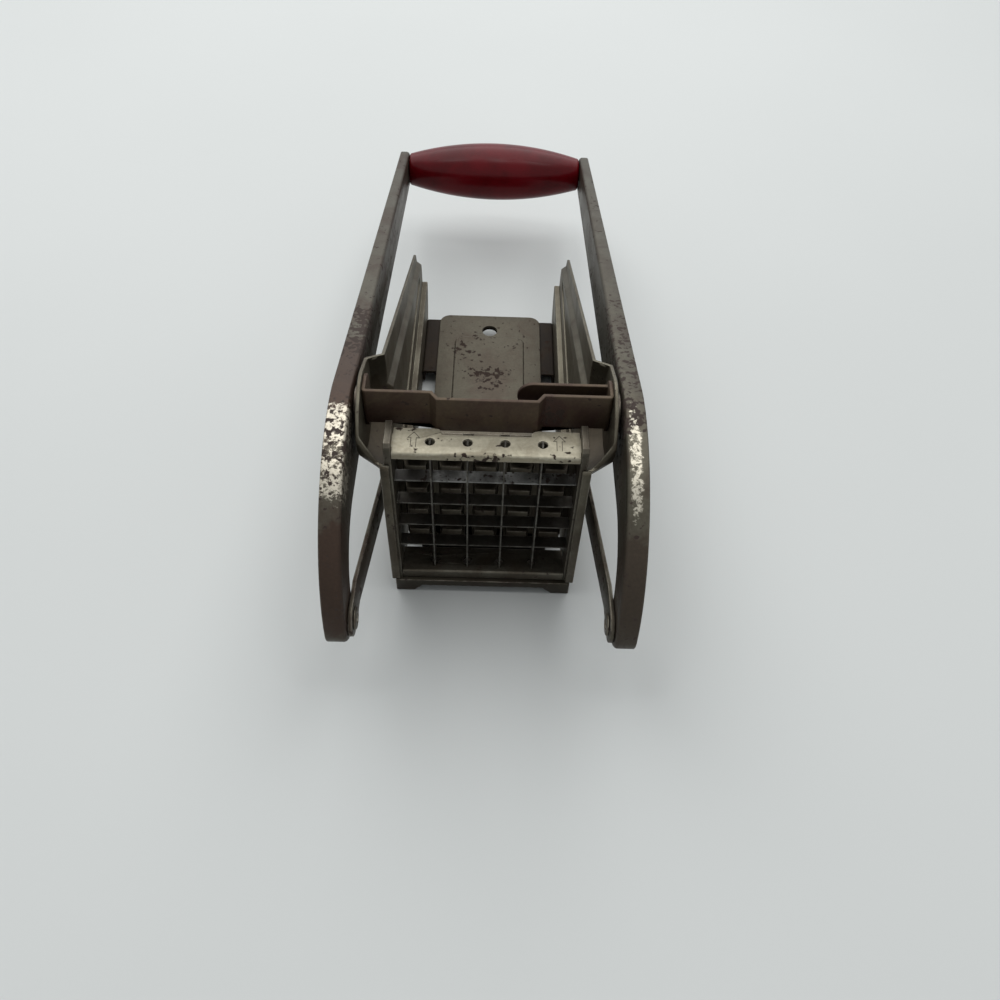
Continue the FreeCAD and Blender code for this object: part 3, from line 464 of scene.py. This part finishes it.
@dataclass
class Palette:
    """Makes the materials, one for each finish.

    Args:
        shop: where the shared node groups come from.
        plate_bump: strength and depth of the relief of plated steel.
        paint_bump: strength and depth of the relief of paint.
    """

    shop: GroupShop
    plate_bump: tuple[float, float] = (0.35, 0.12 * MM)
    paint_bump: tuple[float, float] = (0.3, 0.3 * MM)
    _made: dict[str, bpy.types.Material] = field(default_factory=dict)

    def _start(self, name: str) -> tuple[bpy.types.Material, Graph, bpy.types.Node]:
        """Return a new material with its graph and its shader."""
        material = bpy.data.materials.new(name)
        material.use_nodes = True
        graph = Graph(material.node_tree)
        shader = next(n for n in material.node_tree.nodes if n.type == "BSDF_PRINCIPLED")
        self._made[name] = material
        return material, graph, shader

    def _mask(self, graph: Graph, place: Any, spots: Sequence[Spot]) -> Any:
        """Return the strongest of several patches at each point, or 0 without any."""
        mask: Any = 0.0
        for spot in spots:
            node = graph.add("ShaderNodeGroup", node_tree=self.shop.spot())
            for label, value in (("Vector", place), ("Centre", spot.centre), ("Radii", spot.radii),
                                 ("Strength", spot.strength)):
                graph.feed(node.inputs[label], value)
            mask = node.outputs[0] if mask == 0.0 else graph.math("MAXIMUM", mask, node.outputs[0])
        return mask

    def plate(self, finish: PlateFinish) -> bpy.types.Material:
        """Return the material of a plated steel finish.

        Args:
            finish: the finish.

        Returns:
            The material, made on first use.
        """
        if finish.name in self._made:
            return self._made[finish.name]
        material, graph, shader = self._start(finish.name)
        place = graph.add("ShaderNodeTexCoord").outputs["Object"]
        node = graph.add("ShaderNodeGroup", node_tree=self.shop.plate())
        values = {"Vector": place, "Base": finish.base, "Tarnish": finish.tarnish, "Bright": finish.bright,
                  "Rust": finish.rust, "Mottle": finish.mottle, "Pits": finish.pits,
                  "Edge Wear": finish.edge_wear, "Roughness": finish.roughness, "Metallic": finish.metallic,
                  "Cloud": finish.cloud, "Worn": self._mask(graph, place, finish.worn),
                  "Stained": self._mask(graph, place, finish.stained),
                  "Pitted": self._mask(graph, place, finish.pitted)}
        for label, value in values.items():
            graph.feed(node.inputs[label], value)
        for label, output in (("Base Color", "Colour"), ("Roughness", "Roughness"),
                              ("Metallic", "Metallic")):
            graph.feed(shader.inputs[label], node.outputs[output])
        graph.bump(shader, node.outputs["Height"], *self.plate_bump)
        return material

    def paint(self, finish: PaintFinish) -> bpy.types.Material:
        """Return the material of a painted finish.

        Args:
            finish: the finish.

        Returns:
            The material, made on first use.
        """
        if finish.name in self._made:
            return self._made[finish.name]
        material, graph, shader = self._start(finish.name)
        place = graph.add("ShaderNodeTexCoord").outputs["Object"]
        cloud = graph.noise(place, 60.0, detail=6.0, rough=0.6)
        speck = graph.noise(place, 1500.0, detail=4.0, rough=0.7)
        colour = graph.blend(graph.step(cloud, 0.4, 0.68), finish.colour, finish.deep)
        colour = graph.blend(graph.step(speck, 0.62, 0.74, top=0.35), colour, finish.deep)
        graph.feed(shader.inputs["Base Color"], colour)
        rough = graph.math("ADD", finish.roughness, graph.centred(speck, 0.35))
        graph.feed(shader.inputs["Roughness"], rough)
        for label, value in (("Coat Weight", finish.coat), ("Coat Roughness", finish.coat_roughness),
                             ("Coat IOR", finish.coat_ior), ("Specular IOR Level", finish.specular)):
            shader.inputs[label].default_value = value
        height = graph.math("ADD", graph.scaled(cloud, 0.6), graph.scaled(speck, 0.22))
        graph.bump(shader, height, *self.paint_bump)
        return material


@dataclass
class Bench:
    """What every sub-assembly needs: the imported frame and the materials.

    Args:
        palette: the maker of materials.
    """

    frame: dict[str, Any]
    palette: Palette

    def joint(self, name: str) -> Vector:
        """Return where a joint's axis lies."""
        return Vector(next(j["pos_m"] for j in self.frame["joints"] if j["name"] == name))

    def coat(self, node: str, finish: PlateFinish) -> None:
        """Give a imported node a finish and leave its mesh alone."""
        mesh = self.frame["nodes"][node].data
        mesh.materials.clear()
        mesh.materials.append(self.palette.plate(finish))
        LOG.info("%s: finish %s", node, finish.name)

    def place(self, name: str, mesh: bpy.types.Mesh, material: bpy.types.Material) -> bpy.types.Object:
        """Return a new object at the origin that holds a mesh and a material."""
        mesh.materials.clear()
        mesh.materials.append(material)
        piece = bpy.data.objects.new(name, mesh)
        bpy.context.scene.collection.objects.link(piece)
        return piece

    def body_of(self, node: str) -> str:
        """Return the body that a node belongs to."""
        bodies = self.frame["record"]["behaviour"]["bodies"]
        return next(body for body, nodes in bodies.items() if node in nodes)

    def stand_for(self, piece: bpy.types.Object, node: str) -> None:
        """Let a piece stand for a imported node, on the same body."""
        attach(piece, self.body_of(node))
        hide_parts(node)
        LOG.info("%s stands for %s", piece.name, node)

    def eased(self, node: str, finish: PlateFinish, edge: float, steps: int = 3) -> None:
        """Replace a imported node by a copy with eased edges, as pressed or cut steel has them.

        Args:
            node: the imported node.
            finish: its finish.
            edge: width of the easing on sharp edges.
            steps: faces across each easing.
        """
        mesh = bpy.data.meshes.new(f"{node}_eased")
        work = bmesh.new()
        work.from_mesh(self.frame["nodes"][node].data)
        bmesh.ops.remove_doubles(work, verts=work.verts, dist=WELD)
        bmesh.ops.dissolve_limit(work, angle_limit=FLAT_ANGLE, verts=work.verts, edges=work.edges)
        self.smooth_into(mesh, work)
        piece = self.place(f"{node}_eased", mesh, self.palette.plate(finish))
        bevel = piece.modifiers.new("ease", "BEVEL")
        bevel.width = edge
        bevel.segments = steps
        bevel.limit_method = "ANGLE"
        bevel.angle_limit = EASE_ANGLE
        bevel.harden_normals = True
        bevel.use_clamp_overlap = False
        self.stand_for(piece, node)

    @staticmethod
    def smooth_into(mesh: bpy.types.Mesh, work: bmesh.types.BMesh) -> None:
        """Shade the worked faces smooth, write them to a mesh and free the work."""
        for face in work.faces:
            face.smooth = True
        work.to_mesh(mesh)
        work.free()


@dataclass
class Lever:
    """The two pressed arms, the grip and its rod.

    Args:
        bench: the shared bench.
        edge: easing of the arms' edges.
        rivet_edge: easing of the rivets' edges.
        rod_edge: easing of the grip rod's ends.
        arm_x: distance of an arm's middle from the tool's middle plane.
        painted_highlight_x: the same for the painted highlight along the crest of the right arm.
        reach: reach of a patch across an arm.
        grip_end: radius of the grip at its ends.
        grip_bore: radius of its bore.
        grip_edge: rounding of its ends.
        grip_steps: faces round the grip.
        grip_rows: stations along the grip.
        end_steps: faces across the rounding of an end.
    """

    bench: Bench
    edge: float = 0.48 * MM
    rivet_edge: float = 0.16 * MM
    rod_edge: float = 0.2 * MM
    arm_x: float = 0.047
    painted_highlight_x: float = 0.0462
    reach: float = 0.02
    grip_end: float = 7.75 * MM
    grip_bore: float = 3.08 * MM
    grip_edge: float = 1.3 * MM
    grip_steps: int = 96
    grip_rows: int = 40
    end_steps: int = 4

    def arm_finish(self, side: Side) -> PlateFinish:
        """Return the finish of one arm, with its own worn places, stains and painted highlights."""
        pivot = self.bench.joint("lever_swing")
        x, y, z = side.value * self.arm_x, pivot.y, pivot.z
        wide = self.reach
        lower = Spot((x, y - 0.054, z - 0.0245), (wide, 0.014, 0.032), 0.9)
        if side is Side.LEFT:
            # On the left arm the worn patches are partly wear and partly a painted highlight where light
            # glints on the arm's curved front.
            return PlateFinish(
                "arm_steel_left", base=(0.069, 0.0618, 0.0468), tarnish=(0.036, 0.0204, 0.0126),
                bright=(0.46, 0.42, 0.34), mottle=0.36, pits=0.42, edge_wear=0.6,
                worn=(Spot((x, y - 0.015, z + 0.007), (wide, 0.010, 0.010)),
                      Spot((x, y - 0.031, z), (wide, 0.011, 0.011), 0.85)),
                stained=(lower, Spot((x, y + 0.008, z + 0.007), (wide, 0.026, 0.014), 1.0),
                         Spot((x, y + 0.188, z - 0.027), (wide, 0.0009, 0.02), 1.4)),
                pitted=(Spot((x, y + 0.036, z + 0.002), (wide, 0.026, 0.014), 1.0),
                        Spot((x, y - 0.024, z + 0.004), (wide, 0.022, 0.016), 0.8)))
        # On the right arm the worn patch along the crest is a painted highlight: the streak of light along
        # the rounded flange.
        return PlateFinish(
            "arm_steel_right", base=(0.0688, 0.0622, 0.0462), tarnish=(0.0385, 0.0275, 0.0182),
            bright=(0.4, 0.37, 0.3), mottle=0.34, pits=0.42, edge_wear=0.6,
            worn=(Spot((self.painted_highlight_x, y - 0.024, z + 0.003), (0.0026, 0.028, 0.018), 0.8),),
            stained=(lower, Spot((x, y + 0.145, z - 0.019), (wide, 0.0009, 0.02), 1.4),
                     Spot((x, y + 0.108, z - 0.012), (wide, 0.0012, 0.02), 1.2)),
            pitted=(Spot((x, y + 0.03, z + 0.002), (wide, 0.06, 0.016), 0.6),
                    Spot((x, y - 0.008, z + 0.006), (wide, 0.012, 0.016), 0.9)))

    def grip_profile(self, half: float, middle: float) -> list[tuple[float, float]]:
        """Return the grip's outline as places along its axis with their radii.

        Args:
            half: half the grip's length.
            middle: its radius in the middle.

        Returns:
            The outline from one end of the bore to the other.
        """
        end, edge, steps = self.grip_end, self.grip_edge, self.end_steps
        barrel = half - edge
        bow = (barrel**2 + (middle - end) ** 2) / (2 * (middle - end))
        turns = [math.pi / 2 * i / steps for i in range(steps + 1)]
        rounded = [(half - edge * (1 - math.cos(a)), end - edge + edge * math.sin(a)) for a in turns]
        outline = [(-half, self.grip_bore)]
        outline += [(-x, r) for x, r in rounded]
        for i in range(1, self.grip_rows):
            x = -barrel + 2 * barrel * i / self.grip_rows
            outline.append((x, middle - bow + math.sqrt(bow**2 - x**2)))
        outline += reversed(rounded)
        outline.append((half, self.grip_bore))
        return outline

    def grip(self) -> None:
        """Turn the grip: a barrel on the rod, with eased ends."""
        low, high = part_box("grip")
        axis = (low + high) / 2
        outline = self.grip_profile((high.x - low.x) / 2, (high.z - low.z) / 2)
        work = bmesh.new()
        ring = [work.verts.new((x, axis.y, axis.z + r)) for x, r in outline]
        edges = [work.edges.new((a, b)) for a, b in zip(ring, ring[1:] + ring[:1])]
        bmesh.ops.spin(work, geom=ring + edges, cent=(0, axis.y, axis.z), axis=(1, 0, 0),
                       angle=math.tau, steps=self.grip_steps, use_merge=True)
        bmesh.ops.remove_doubles(work, verts=work.verts, dist=WELD / 2)
        bmesh.ops.recalc_face_normals(work, faces=work.faces)
        mesh = bpy.data.meshes.new("grip_turned")
        self.bench.smooth_into(mesh, work)
        red = PaintFinish("red_paint", colour=(0.11, 0.001, 0.004), deep=(0.07, 0.0005, 0.002))
        self.bench.stand_for(self.bench.place("grip_turned", mesh, self.bench.palette.paint(red)), "grip")

    def build(self) -> None:
        """Dress the arms, rivets and grip."""
        rivet = PlateFinish("rivet_steel", base=(0.119, 0.1085, 0.084),
                            tarnish=(0.056, 0.0385, 0.0245), mottle=0.5, pits=0.3)
        for side in Side:
            self.bench.eased(side.node("lever_arm"), self.arm_finish(side), self.edge, steps=4)
            self.bench.eased(side.node("crank_rivet"), rivet, self.rivet_edge)
        self.bench.eased("grip_rod", rivet, self.rod_edge)
        self.grip()


@dataclass
class Links:
    """The flat links between the arms and the pusher's cross rod.

    Args:
        bench: the shared bench.
        edge: easing of the links' edges.
        rivet_edge: easing of the rivets' edges.
    """

    bench: Bench
    edge: float = 0.3 * MM
    rivet_edge: float = 0.2 * MM

    def build(self) -> None:
        """Dress both links and their rivets."""
        steel = PlateFinish("link_steel", base=(0.077, 0.07, 0.0525), tarnish=(0.0385, 0.0252, 0.0154),
                            mottle=0.5, pits=0.5, edge_wear=0.8)
        for side in Side:
            self.bench.eased(side.node("link"), steel, self.edge)
            self.bench.eased(side.node("rod_rivet"), steel, self.rivet_edge)


@dataclass
class Body:
    """The fixed frame: side plates, pan, tongue, bridge, strap, pivot rivets and washers.

    Args:
        bench: the shared bench.
        plate_edge: easing of the side plates' edges.
        edge: easing of the other sheets' edges.
        rivet_edge: easing of the pivot rivets' edges.
        washer_edge: easing of the washers' edges.
        ear_x: distance of an ear's stains from the tool's middle plane.
    """

    bench: Bench
    plate_edge: float = 0.34 * MM
    edge: float = 0.3 * MM
    rivet_edge: float = 0.16 * MM
    washer_edge: float = 0.25 * MM
    ear_x: float = 0.036

    def plates(self) -> None:
        """Dress the two pressed side plates."""
        pivot = self.bench.joint("lever_swing")
        for side in Side:
            x = side.value * self.ear_x
            stained = (Spot((x, pivot.y + 0.004, pivot.z - 0.012), (0.02, 0.020, 0.016), 0.8),
                       Spot((x, pivot.y - 0.015, 0.02), (0.01, 0.02, 0.03), 0.4))
            finish = PlateFinish(side.node("side_steel"), base=(0.114, 0.1026, 0.076),
                                 tarnish=(0.0532, 0.041, 0.0258), bright=(0.3, 0.28, 0.22), mottle=0.4,
                                 pits=0.1, edge_wear=0.8, roughness=0.5, cloud=45.0, stained=stained)
            self.bench.eased(side.node("side_plate"), finish, self.plate_edge)

    def tongue(self) -> None:
        """Dress the tongue, the bridge under it and the front pan."""
        mounts = self.bench.frame["record"]["mounts"]
        hole = Vector(next(m["pos_m"] for m in mounts if m["name"] == "fixing_hole"))
        deep = 0.01
        tongue = PlateFinish("tongue_steel", base=(0.075, 0.066, 0.0473), tarnish=(0.0638, 0.0488, 0.033),
                             bright=(0.2, 0.18, 0.14), mottle=0.3, pits=0.3, edge_wear=0.5, roughness=0.6,
                             metallic=0.7,
                             stained=(Spot((0, hole.y - 0.040, hole.z), (0.012, 0.012, deep), 0.6),),
                             pitted=(Spot((0, hole.y - 0.034, hole.z), (0.016, 0.012, deep), 0.62),
                                     Spot((-0.006, hole.y - 0.012, hole.z), (0.018, 0.014, deep), 0.4)))
        bridge = PlateFinish("bridge_steel", base=(0.0192, 0.0108, 0.0042), tarnish=(0.0108, 0.006, 0.0024),
                             bright=(0.12, 0.08, 0.03), rust=(0.02, 0.009, 0.004), mottle=0.6, pits=0.5,
                             edge_wear=0.5, roughness=0.75, metallic=0.6)
        # The pan's dark colour paints the shade on it below the lip.
        pan = PlateFinish("pan_steel", base=(0.044, 0.0384, 0.0272), tarnish=(0.024, 0.0168, 0.0104),
                          mottle=0.5, pits=0.4)
        for node, finish in (("base_plate", tongue), ("rear_bridge", bridge), ("bottom_pan", pan)):
            self.bench.eased(node, finish, self.edge)

    def strap(self) -> None:
        """Dress the strap and the pivot rivets."""
        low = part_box("retaining_strap")[0]
        stained = (Spot((0.021, low.y, low.z + 0.010), (0.006, 0.01, 0.009), 1.0),)
        strap = PlateFinish("strap_steel", base=(0.072, 0.0504, 0.03), tarnish=(0.036, 0.0156, 0.0102),
                            bright=(0.085, 0.065, 0.047), mottle=0.5, pits=0.25, edge_wear=0.7,
                            roughness=0.6, metallic=0.6, cloud=55.0, stained=stained, pitted=stained)
        rivet = PlateFinish("pivot_steel", base=(0.098, 0.0875, 0.07), tarnish=(0.049, 0.0315, 0.021),
                            mottle=0.5, pits=0.35)
        self.bench.eased("retaining_strap", strap, self.edge)
        for side in Side:
            self.bench.eased(side.node("pivot_rivet"), rivet, self.rivet_edge)
            self.bench.eased(side.node("pivot_washer"), rivet, self.washer_edge)

    def build(self) -> None:
        """Dress the whole frame."""
        self.plates()
        self.tongue()
        self.strap()


@dataclass
class Cartridge:
    """The lift-out cutting grid with its cover, floor and side bars.

    Args:
        bench: the shared bench.
        edge: easing of the sheets' edges.
        arrow_from_end: distance of each arrow's middle line from the cover's end.
        arrow_from_front: distance of its foot from the cover's front.
        arrow_length: length of an arrow.
        arrow_neck: share of the length that the shaft takes.
        arrow_width: width of its shaft.
        arrow_head: width of its head.
        stroke: width of the stamped line.
        stroke_deep: height of the line's bar.
        stroke_sunk: how far the bar's middle lies under the cover's top.
    """

    bench: Bench
    edge: float = 0.25 * MM
    arrow_from_end: float = 9.2 * MM
    arrow_from_front: float = 2.9 * MM
    arrow_length: float = 6.4 * MM
    arrow_neck: float = 0.62
    arrow_width: float = 1.7 * MM
    arrow_head: float = 3.8 * MM
    stroke: float = 0.22 * MM
    stroke_deep: float = 0.12 * MM
    stroke_sunk: float = 0.03 * MM

    def arrow(self, side: Side) -> None:
        """Stamp the outline of an arrow that points to the rear on the cover's top."""
        low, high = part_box("cartridge_cover")
        x = side.value * (high.x - self.arrow_from_end)
        front = low.y + self.arrow_from_front
        neck = front + self.arrow_length * self.arrow_neck
        tip = front + self.arrow_length
        shaft, head = self.arrow_width / 2, self.arrow_head / 2
        path = [(x - shaft, front), (x - shaft, neck), (x - head, neck), (x, tip), (x + head, neck),
                (x + shaft, neck), (x + shaft, front)]
        work = bmesh.new()
        for a, b in zip(path, path[1:]):
            run = Vector((b[0] - a[0], b[1] - a[1], 0))
            made = bmesh.ops.create_cube(work, size=1.0)["verts"]
            size = Matrix.Diagonal((run.length + self.stroke, self.stroke, self.stroke_deep, 1.0))
            turn = Matrix.Rotation(math.atan2(run.y, run.x), 4, "Z")
            middle = ((a[0] + b[0]) / 2, (a[1] + b[1]) / 2, high.z - self.stroke_sunk)
            bmesh.ops.transform(work, matrix=Matrix.Translation(middle) @ turn @ size, verts=made)
        mesh = bpy.data.meshes.new(side.node("cover_arrow"))
        work.to_mesh(mesh)
        work.free()
        line = PlateFinish("stamped_line", base=(0.09, 0.08, 0.062), tarnish=(0.06, 0.05, 0.035),
                           edge_wear=0.0, pits=0.0)
        piece = self.bench.place(mesh.name, mesh, self.bench.palette.plate(line))
        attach(piece, "cartridge")
        LOG.info("%s: stamped on the cover", piece.name)

    def blades(self, low: Vector) -> None:
        """Dress the blades: the lower ones dark as painted shade in the cells, the topmost cross blade
        bright as painted light on its top face.

        Args:
            low: lowest corner of the cover, under which the blades begin.
        """
        # The blades' darker colour paints the shade that fills the cells of the grid.
        blade = PlateFinish("blade_steel", base=(0.0638, 0.0595, 0.051), tarnish=(0.0298, 0.0238, 0.017),
                            bright=(0.28, 0.27, 0.24), mottle=0.5, pits=0.4, edge_wear=0.6, cloud=160.0)
        # The topmost cross blade's bright colour paints the light on its top face, and its two dark patches
        # paint the shade towards its ends.
        lit_top_blade = PlateFinish("blade_steel_bright", base=(0.26, 0.26, 0.25), tarnish=(0.07, 0.066, 0.06),
                                bright=(0.4, 0.4, 0.38), mottle=0.35, pits=0.7, edge_wear=0.5,
                                roughness=0.5, cloud=130.0,
                                stained=(Spot((-0.027, low.y, low.z - 0.01), (0.014, 0.02, 0.02), 1.0),
                                         Spot((0.029, low.y, low.z - 0.01), (0.008, 0.02, 0.02), 0.7)))
        names = sorted(name for name in self.bench.frame["nodes"] if "_blade_" in name)
        highest = max(names, key=lambda name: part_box(name)[0].z)
        for name in names:
            self.bench.coat(name, lit_top_blade if name == highest else blade)

    def build(self) -> None:
        """Dress the cartridge, its blades and the stamped arrows."""
        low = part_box("cartridge_cover")[0]
        rusty = Spot((-0.003, low.y, low.z + 0.0015), (0.014, 0.0022, 0.003))
        # The lip patch is painted shade: it darkens the front of the cover's lip, which faces away from the
        # light.
        lip = Spot((0.0, low.y - 0.0008, low.z + 0.0006), (0.06, 0.0016, 0.0024), 1.6)
        cover = PlateFinish("cover_steel", base=(0.43, 0.395, 0.30), tarnish=(0.3, 0.265, 0.19),
                            bright=(0.6, 0.56, 0.46), mottle=0.25, pits=0.36, edge_wear=1.0,
                            roughness=0.6, metallic=0.45, cloud=140.0, stained=(rusty, lip),
                            pitted=(rusty,))
        frame = PlateFinish("cartridge_steel", base=(0.098, 0.0896, 0.07), tarnish=(0.049, 0.0378, 0.0252),
                            bright=(0.35, 0.32, 0.26), mottle=0.45, pits=0.35, edge_wear=0.6)
        self.bench.eased("cartridge_cover", cover, self.edge)
        self.bench.eased("cartridge_floor", frame, self.edge)
        for side in Side:
            self.bench.eased(side.node("cartridge_side"), frame, self.edge)
            self.arrow(side)
        self.blades(low)


@dataclass
class Pusher:
    """The studded head, its carriage and the cross rod.

    Args:
        bench: the shared bench.
        edge: easing of the head's and the carriage's edges.
        rod_edge: easing of the cross rod's ends.
    """

    bench: Bench
    edge: float = 0.25 * MM
    rod_edge: float = 0.2 * MM

    def build(self) -> None:
        """Dress the pusher."""
        steel = PlateFinish("pusher_steel", base=(0.085, 0.075, 0.055), tarnish=(0.045, 0.034, 0.022),
                            mottle=0.5, pits=0.4, edge_wear=0.6)
        self.bench.eased("pusher_head", steel, self.edge)
        self.bench.eased("pusher_carriage", steel, self.edge)
        self.bench.coat("pusher_rivets", steel)
        self.bench.eased("pusher_rod", steel, self.rod_edge)


@dataclass(frozen=True)
class Lamp:
    """A soft lamp that looks at the tool.

    Args:
        name: name of the lamp.
        at: its place.
        size: its width and depth.
        power: its power in watts.
    """

    name: str
    at: Point
    size: tuple[float, float]
    power: float


@dataclass
class Studio:
    """The pale floor, the soft light and the camera.

    Args:
        camera_at: the camera's place.
        pitch: tilt up from straight down, in degrees.
        yaw: turn about the vertical, in degrees.
        roll: turn about the line of sight, in degrees.
        focal_px: focal length in pixels of the 1000-pixel frame.
        frame_px: width of the frame in pixels.
        sensor: width of the camera's sensor in millimetres.
        lamps: the soft lamps, one large and three small.
        aim: the point that the lamps look at.
        surround: strength of the surroundings as a light.
        surround_colour: their colour.
        floor_size: size of the floor.
        floor_drop: how far it lies under the tool.
        floor_colours: the two pale tones of the floor.
    """

    camera_at: Point = (0.00009, -0.28022, 0.28453)
    pitch: float = 38.492
    yaw: float = -1.559
    roll: float = 2.798
    focal_px: float = 870.0
    frame_px: float = 1000.0
    sensor: float = 36.0
    lamps: tuple[Lamp, ...] = (
        Lamp("overhead", (-0.1, 0.75, 1.25), (1.9, 1.9), 23.0),
        Lamp("tube_left", (-0.38, -0.14, 1.3), (0.14, 0.3), 0.8),
        Lamp("tube_middle", (0.04, -0.14, 1.3), (0.14, 0.3), 0.8),
        Lamp("tube_right", (0.38, -0.14, 1.3), (0.14, 0.3), 0.8),
    )
    aim: Point = (0.0, 0.0, 0.04)
    surround: float = 0.33
    surround_colour: Colour = (0.92, 0.95, 0.97)
    floor_size: float = 8.0
    floor_drop: float = 0.2 * MM
    floor_colours: tuple[Colour, Colour] = ((0.60, 0.62, 0.61), (0.66, 0.68, 0.67))

    def camera(self) -> None:
        """Place the camera."""
        data = bpy.data.cameras.new("camera")
        data.sensor_width = self.sensor
        data.lens = self.focal_px / self.frame_px * data.sensor_width
        data.clip_start = 0.01
        eye = bpy.data.objects.new("camera", data)
        turn = (Matrix.Rotation(math.radians(self.yaw), 4, "Z")
                @ Matrix.Rotation(math.radians(self.pitch), 4, "X")
                @ Matrix.Rotation(math.radians(self.roll), 4, "Z"))
        eye.matrix_world = Matrix.Translation(self.camera_at) @ turn
        bpy.context.scene.collection.objects.link(eye)
        bpy.context.scene.camera = eye

    def floor(self) -> None:
        """Lay the pale floor."""
        work = bmesh.new()
        bmesh.ops.create_grid(work, x_segments=1, y_segments=1, size=self.floor_size)
        mesh = bpy.data.meshes.new("floor")
        work.to_mesh(mesh)
        work.free()
        material = bpy.data.materials.new("floor")
        material.use_nodes = True
        graph = Graph(material.node_tree)
        shader = next(n for n in material.node_tree.nodes if n.type == "BSDF_PRINCIPLED")
        place = graph.add("ShaderNodeTexCoord").outputs["Object"]
        cloud = graph.noise(place, 3.0, detail=3.0, rough=0.5)
        graph.feed(shader.inputs["Base Color"], graph.blend(cloud, *self.floor_colours))
        shader.inputs["Roughness"].default_value = 0.55
        shader.inputs["Specular IOR Level"].default_value = 0.2
        mesh.materials.append(material)
        floor = bpy.data.objects.new("floor", mesh)
        floor.location.z = -self.floor_drop
        bpy.context.scene.collection.objects.link(floor)

    def hang(self, lamp: Lamp) -> None:
        """Hang one lamp and turn it to the tool."""
        data = bpy.data.lights.new(lamp.name, "AREA")
        data.shape = "RECTANGLE"
        data.size, data.size_y = lamp.size
        data.energy = lamp.power
        hung = bpy.data.objects.new(lamp.name, data)
        hung.location = lamp.at
        hung.rotation_euler = (Vector(self.aim) - Vector(lamp.at)).to_track_quat("-Z", "Y").to_euler()
        bpy.context.scene.collection.objects.link(hung)

    def light(self) -> None:
        """Hang the lamps and set the pale surroundings.

        The camera, metal and glass see the surroundings at full strength. As a light they are weaker.
        """
        for lamp in self.lamps:
            self.hang(lamp)
        world = bpy.data.worlds.new("studio")
        world.use_nodes = True
        back = world.node_tree.nodes["Background"]
        back.inputs["Color"].default_value = (*self.surround_colour, 1.0)
        graph = Graph(world.node_tree)
        rays = graph.add("ShaderNodeLightPath").outputs
        seen = graph.math("MAXIMUM", rays["Is Camera Ray"], rays["Is Glossy Ray"])
        seen = graph.math("MAXIMUM", seen, rays["Is Transmission Ray"])
        graph.feed(back.inputs["Strength"], graph.step(seen, 0.0, 1.0, top=1.0, floor=self.surround))
        bpy.context.scene.world = world
        bpy.context.scene.view_settings.view_transform = "Standard"

    def build(self) -> None:
        """Set up the whole studio."""
        self.camera()
        self.floor()
        self.light()


def main() -> None:
    """Dress the tool and set the scene."""
    logging.basicConfig(level=logging.INFO, format="%(name)s: %(message)s")
    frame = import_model()
    Studio().build()
    bench = Bench(frame, Palette(GroupShop()))
    for part in (Lever(bench), Links(bench), Body(bench), Cartridge(bench), Pusher(bench)):
        part.build()


if __name__ == "__main__":
    main()
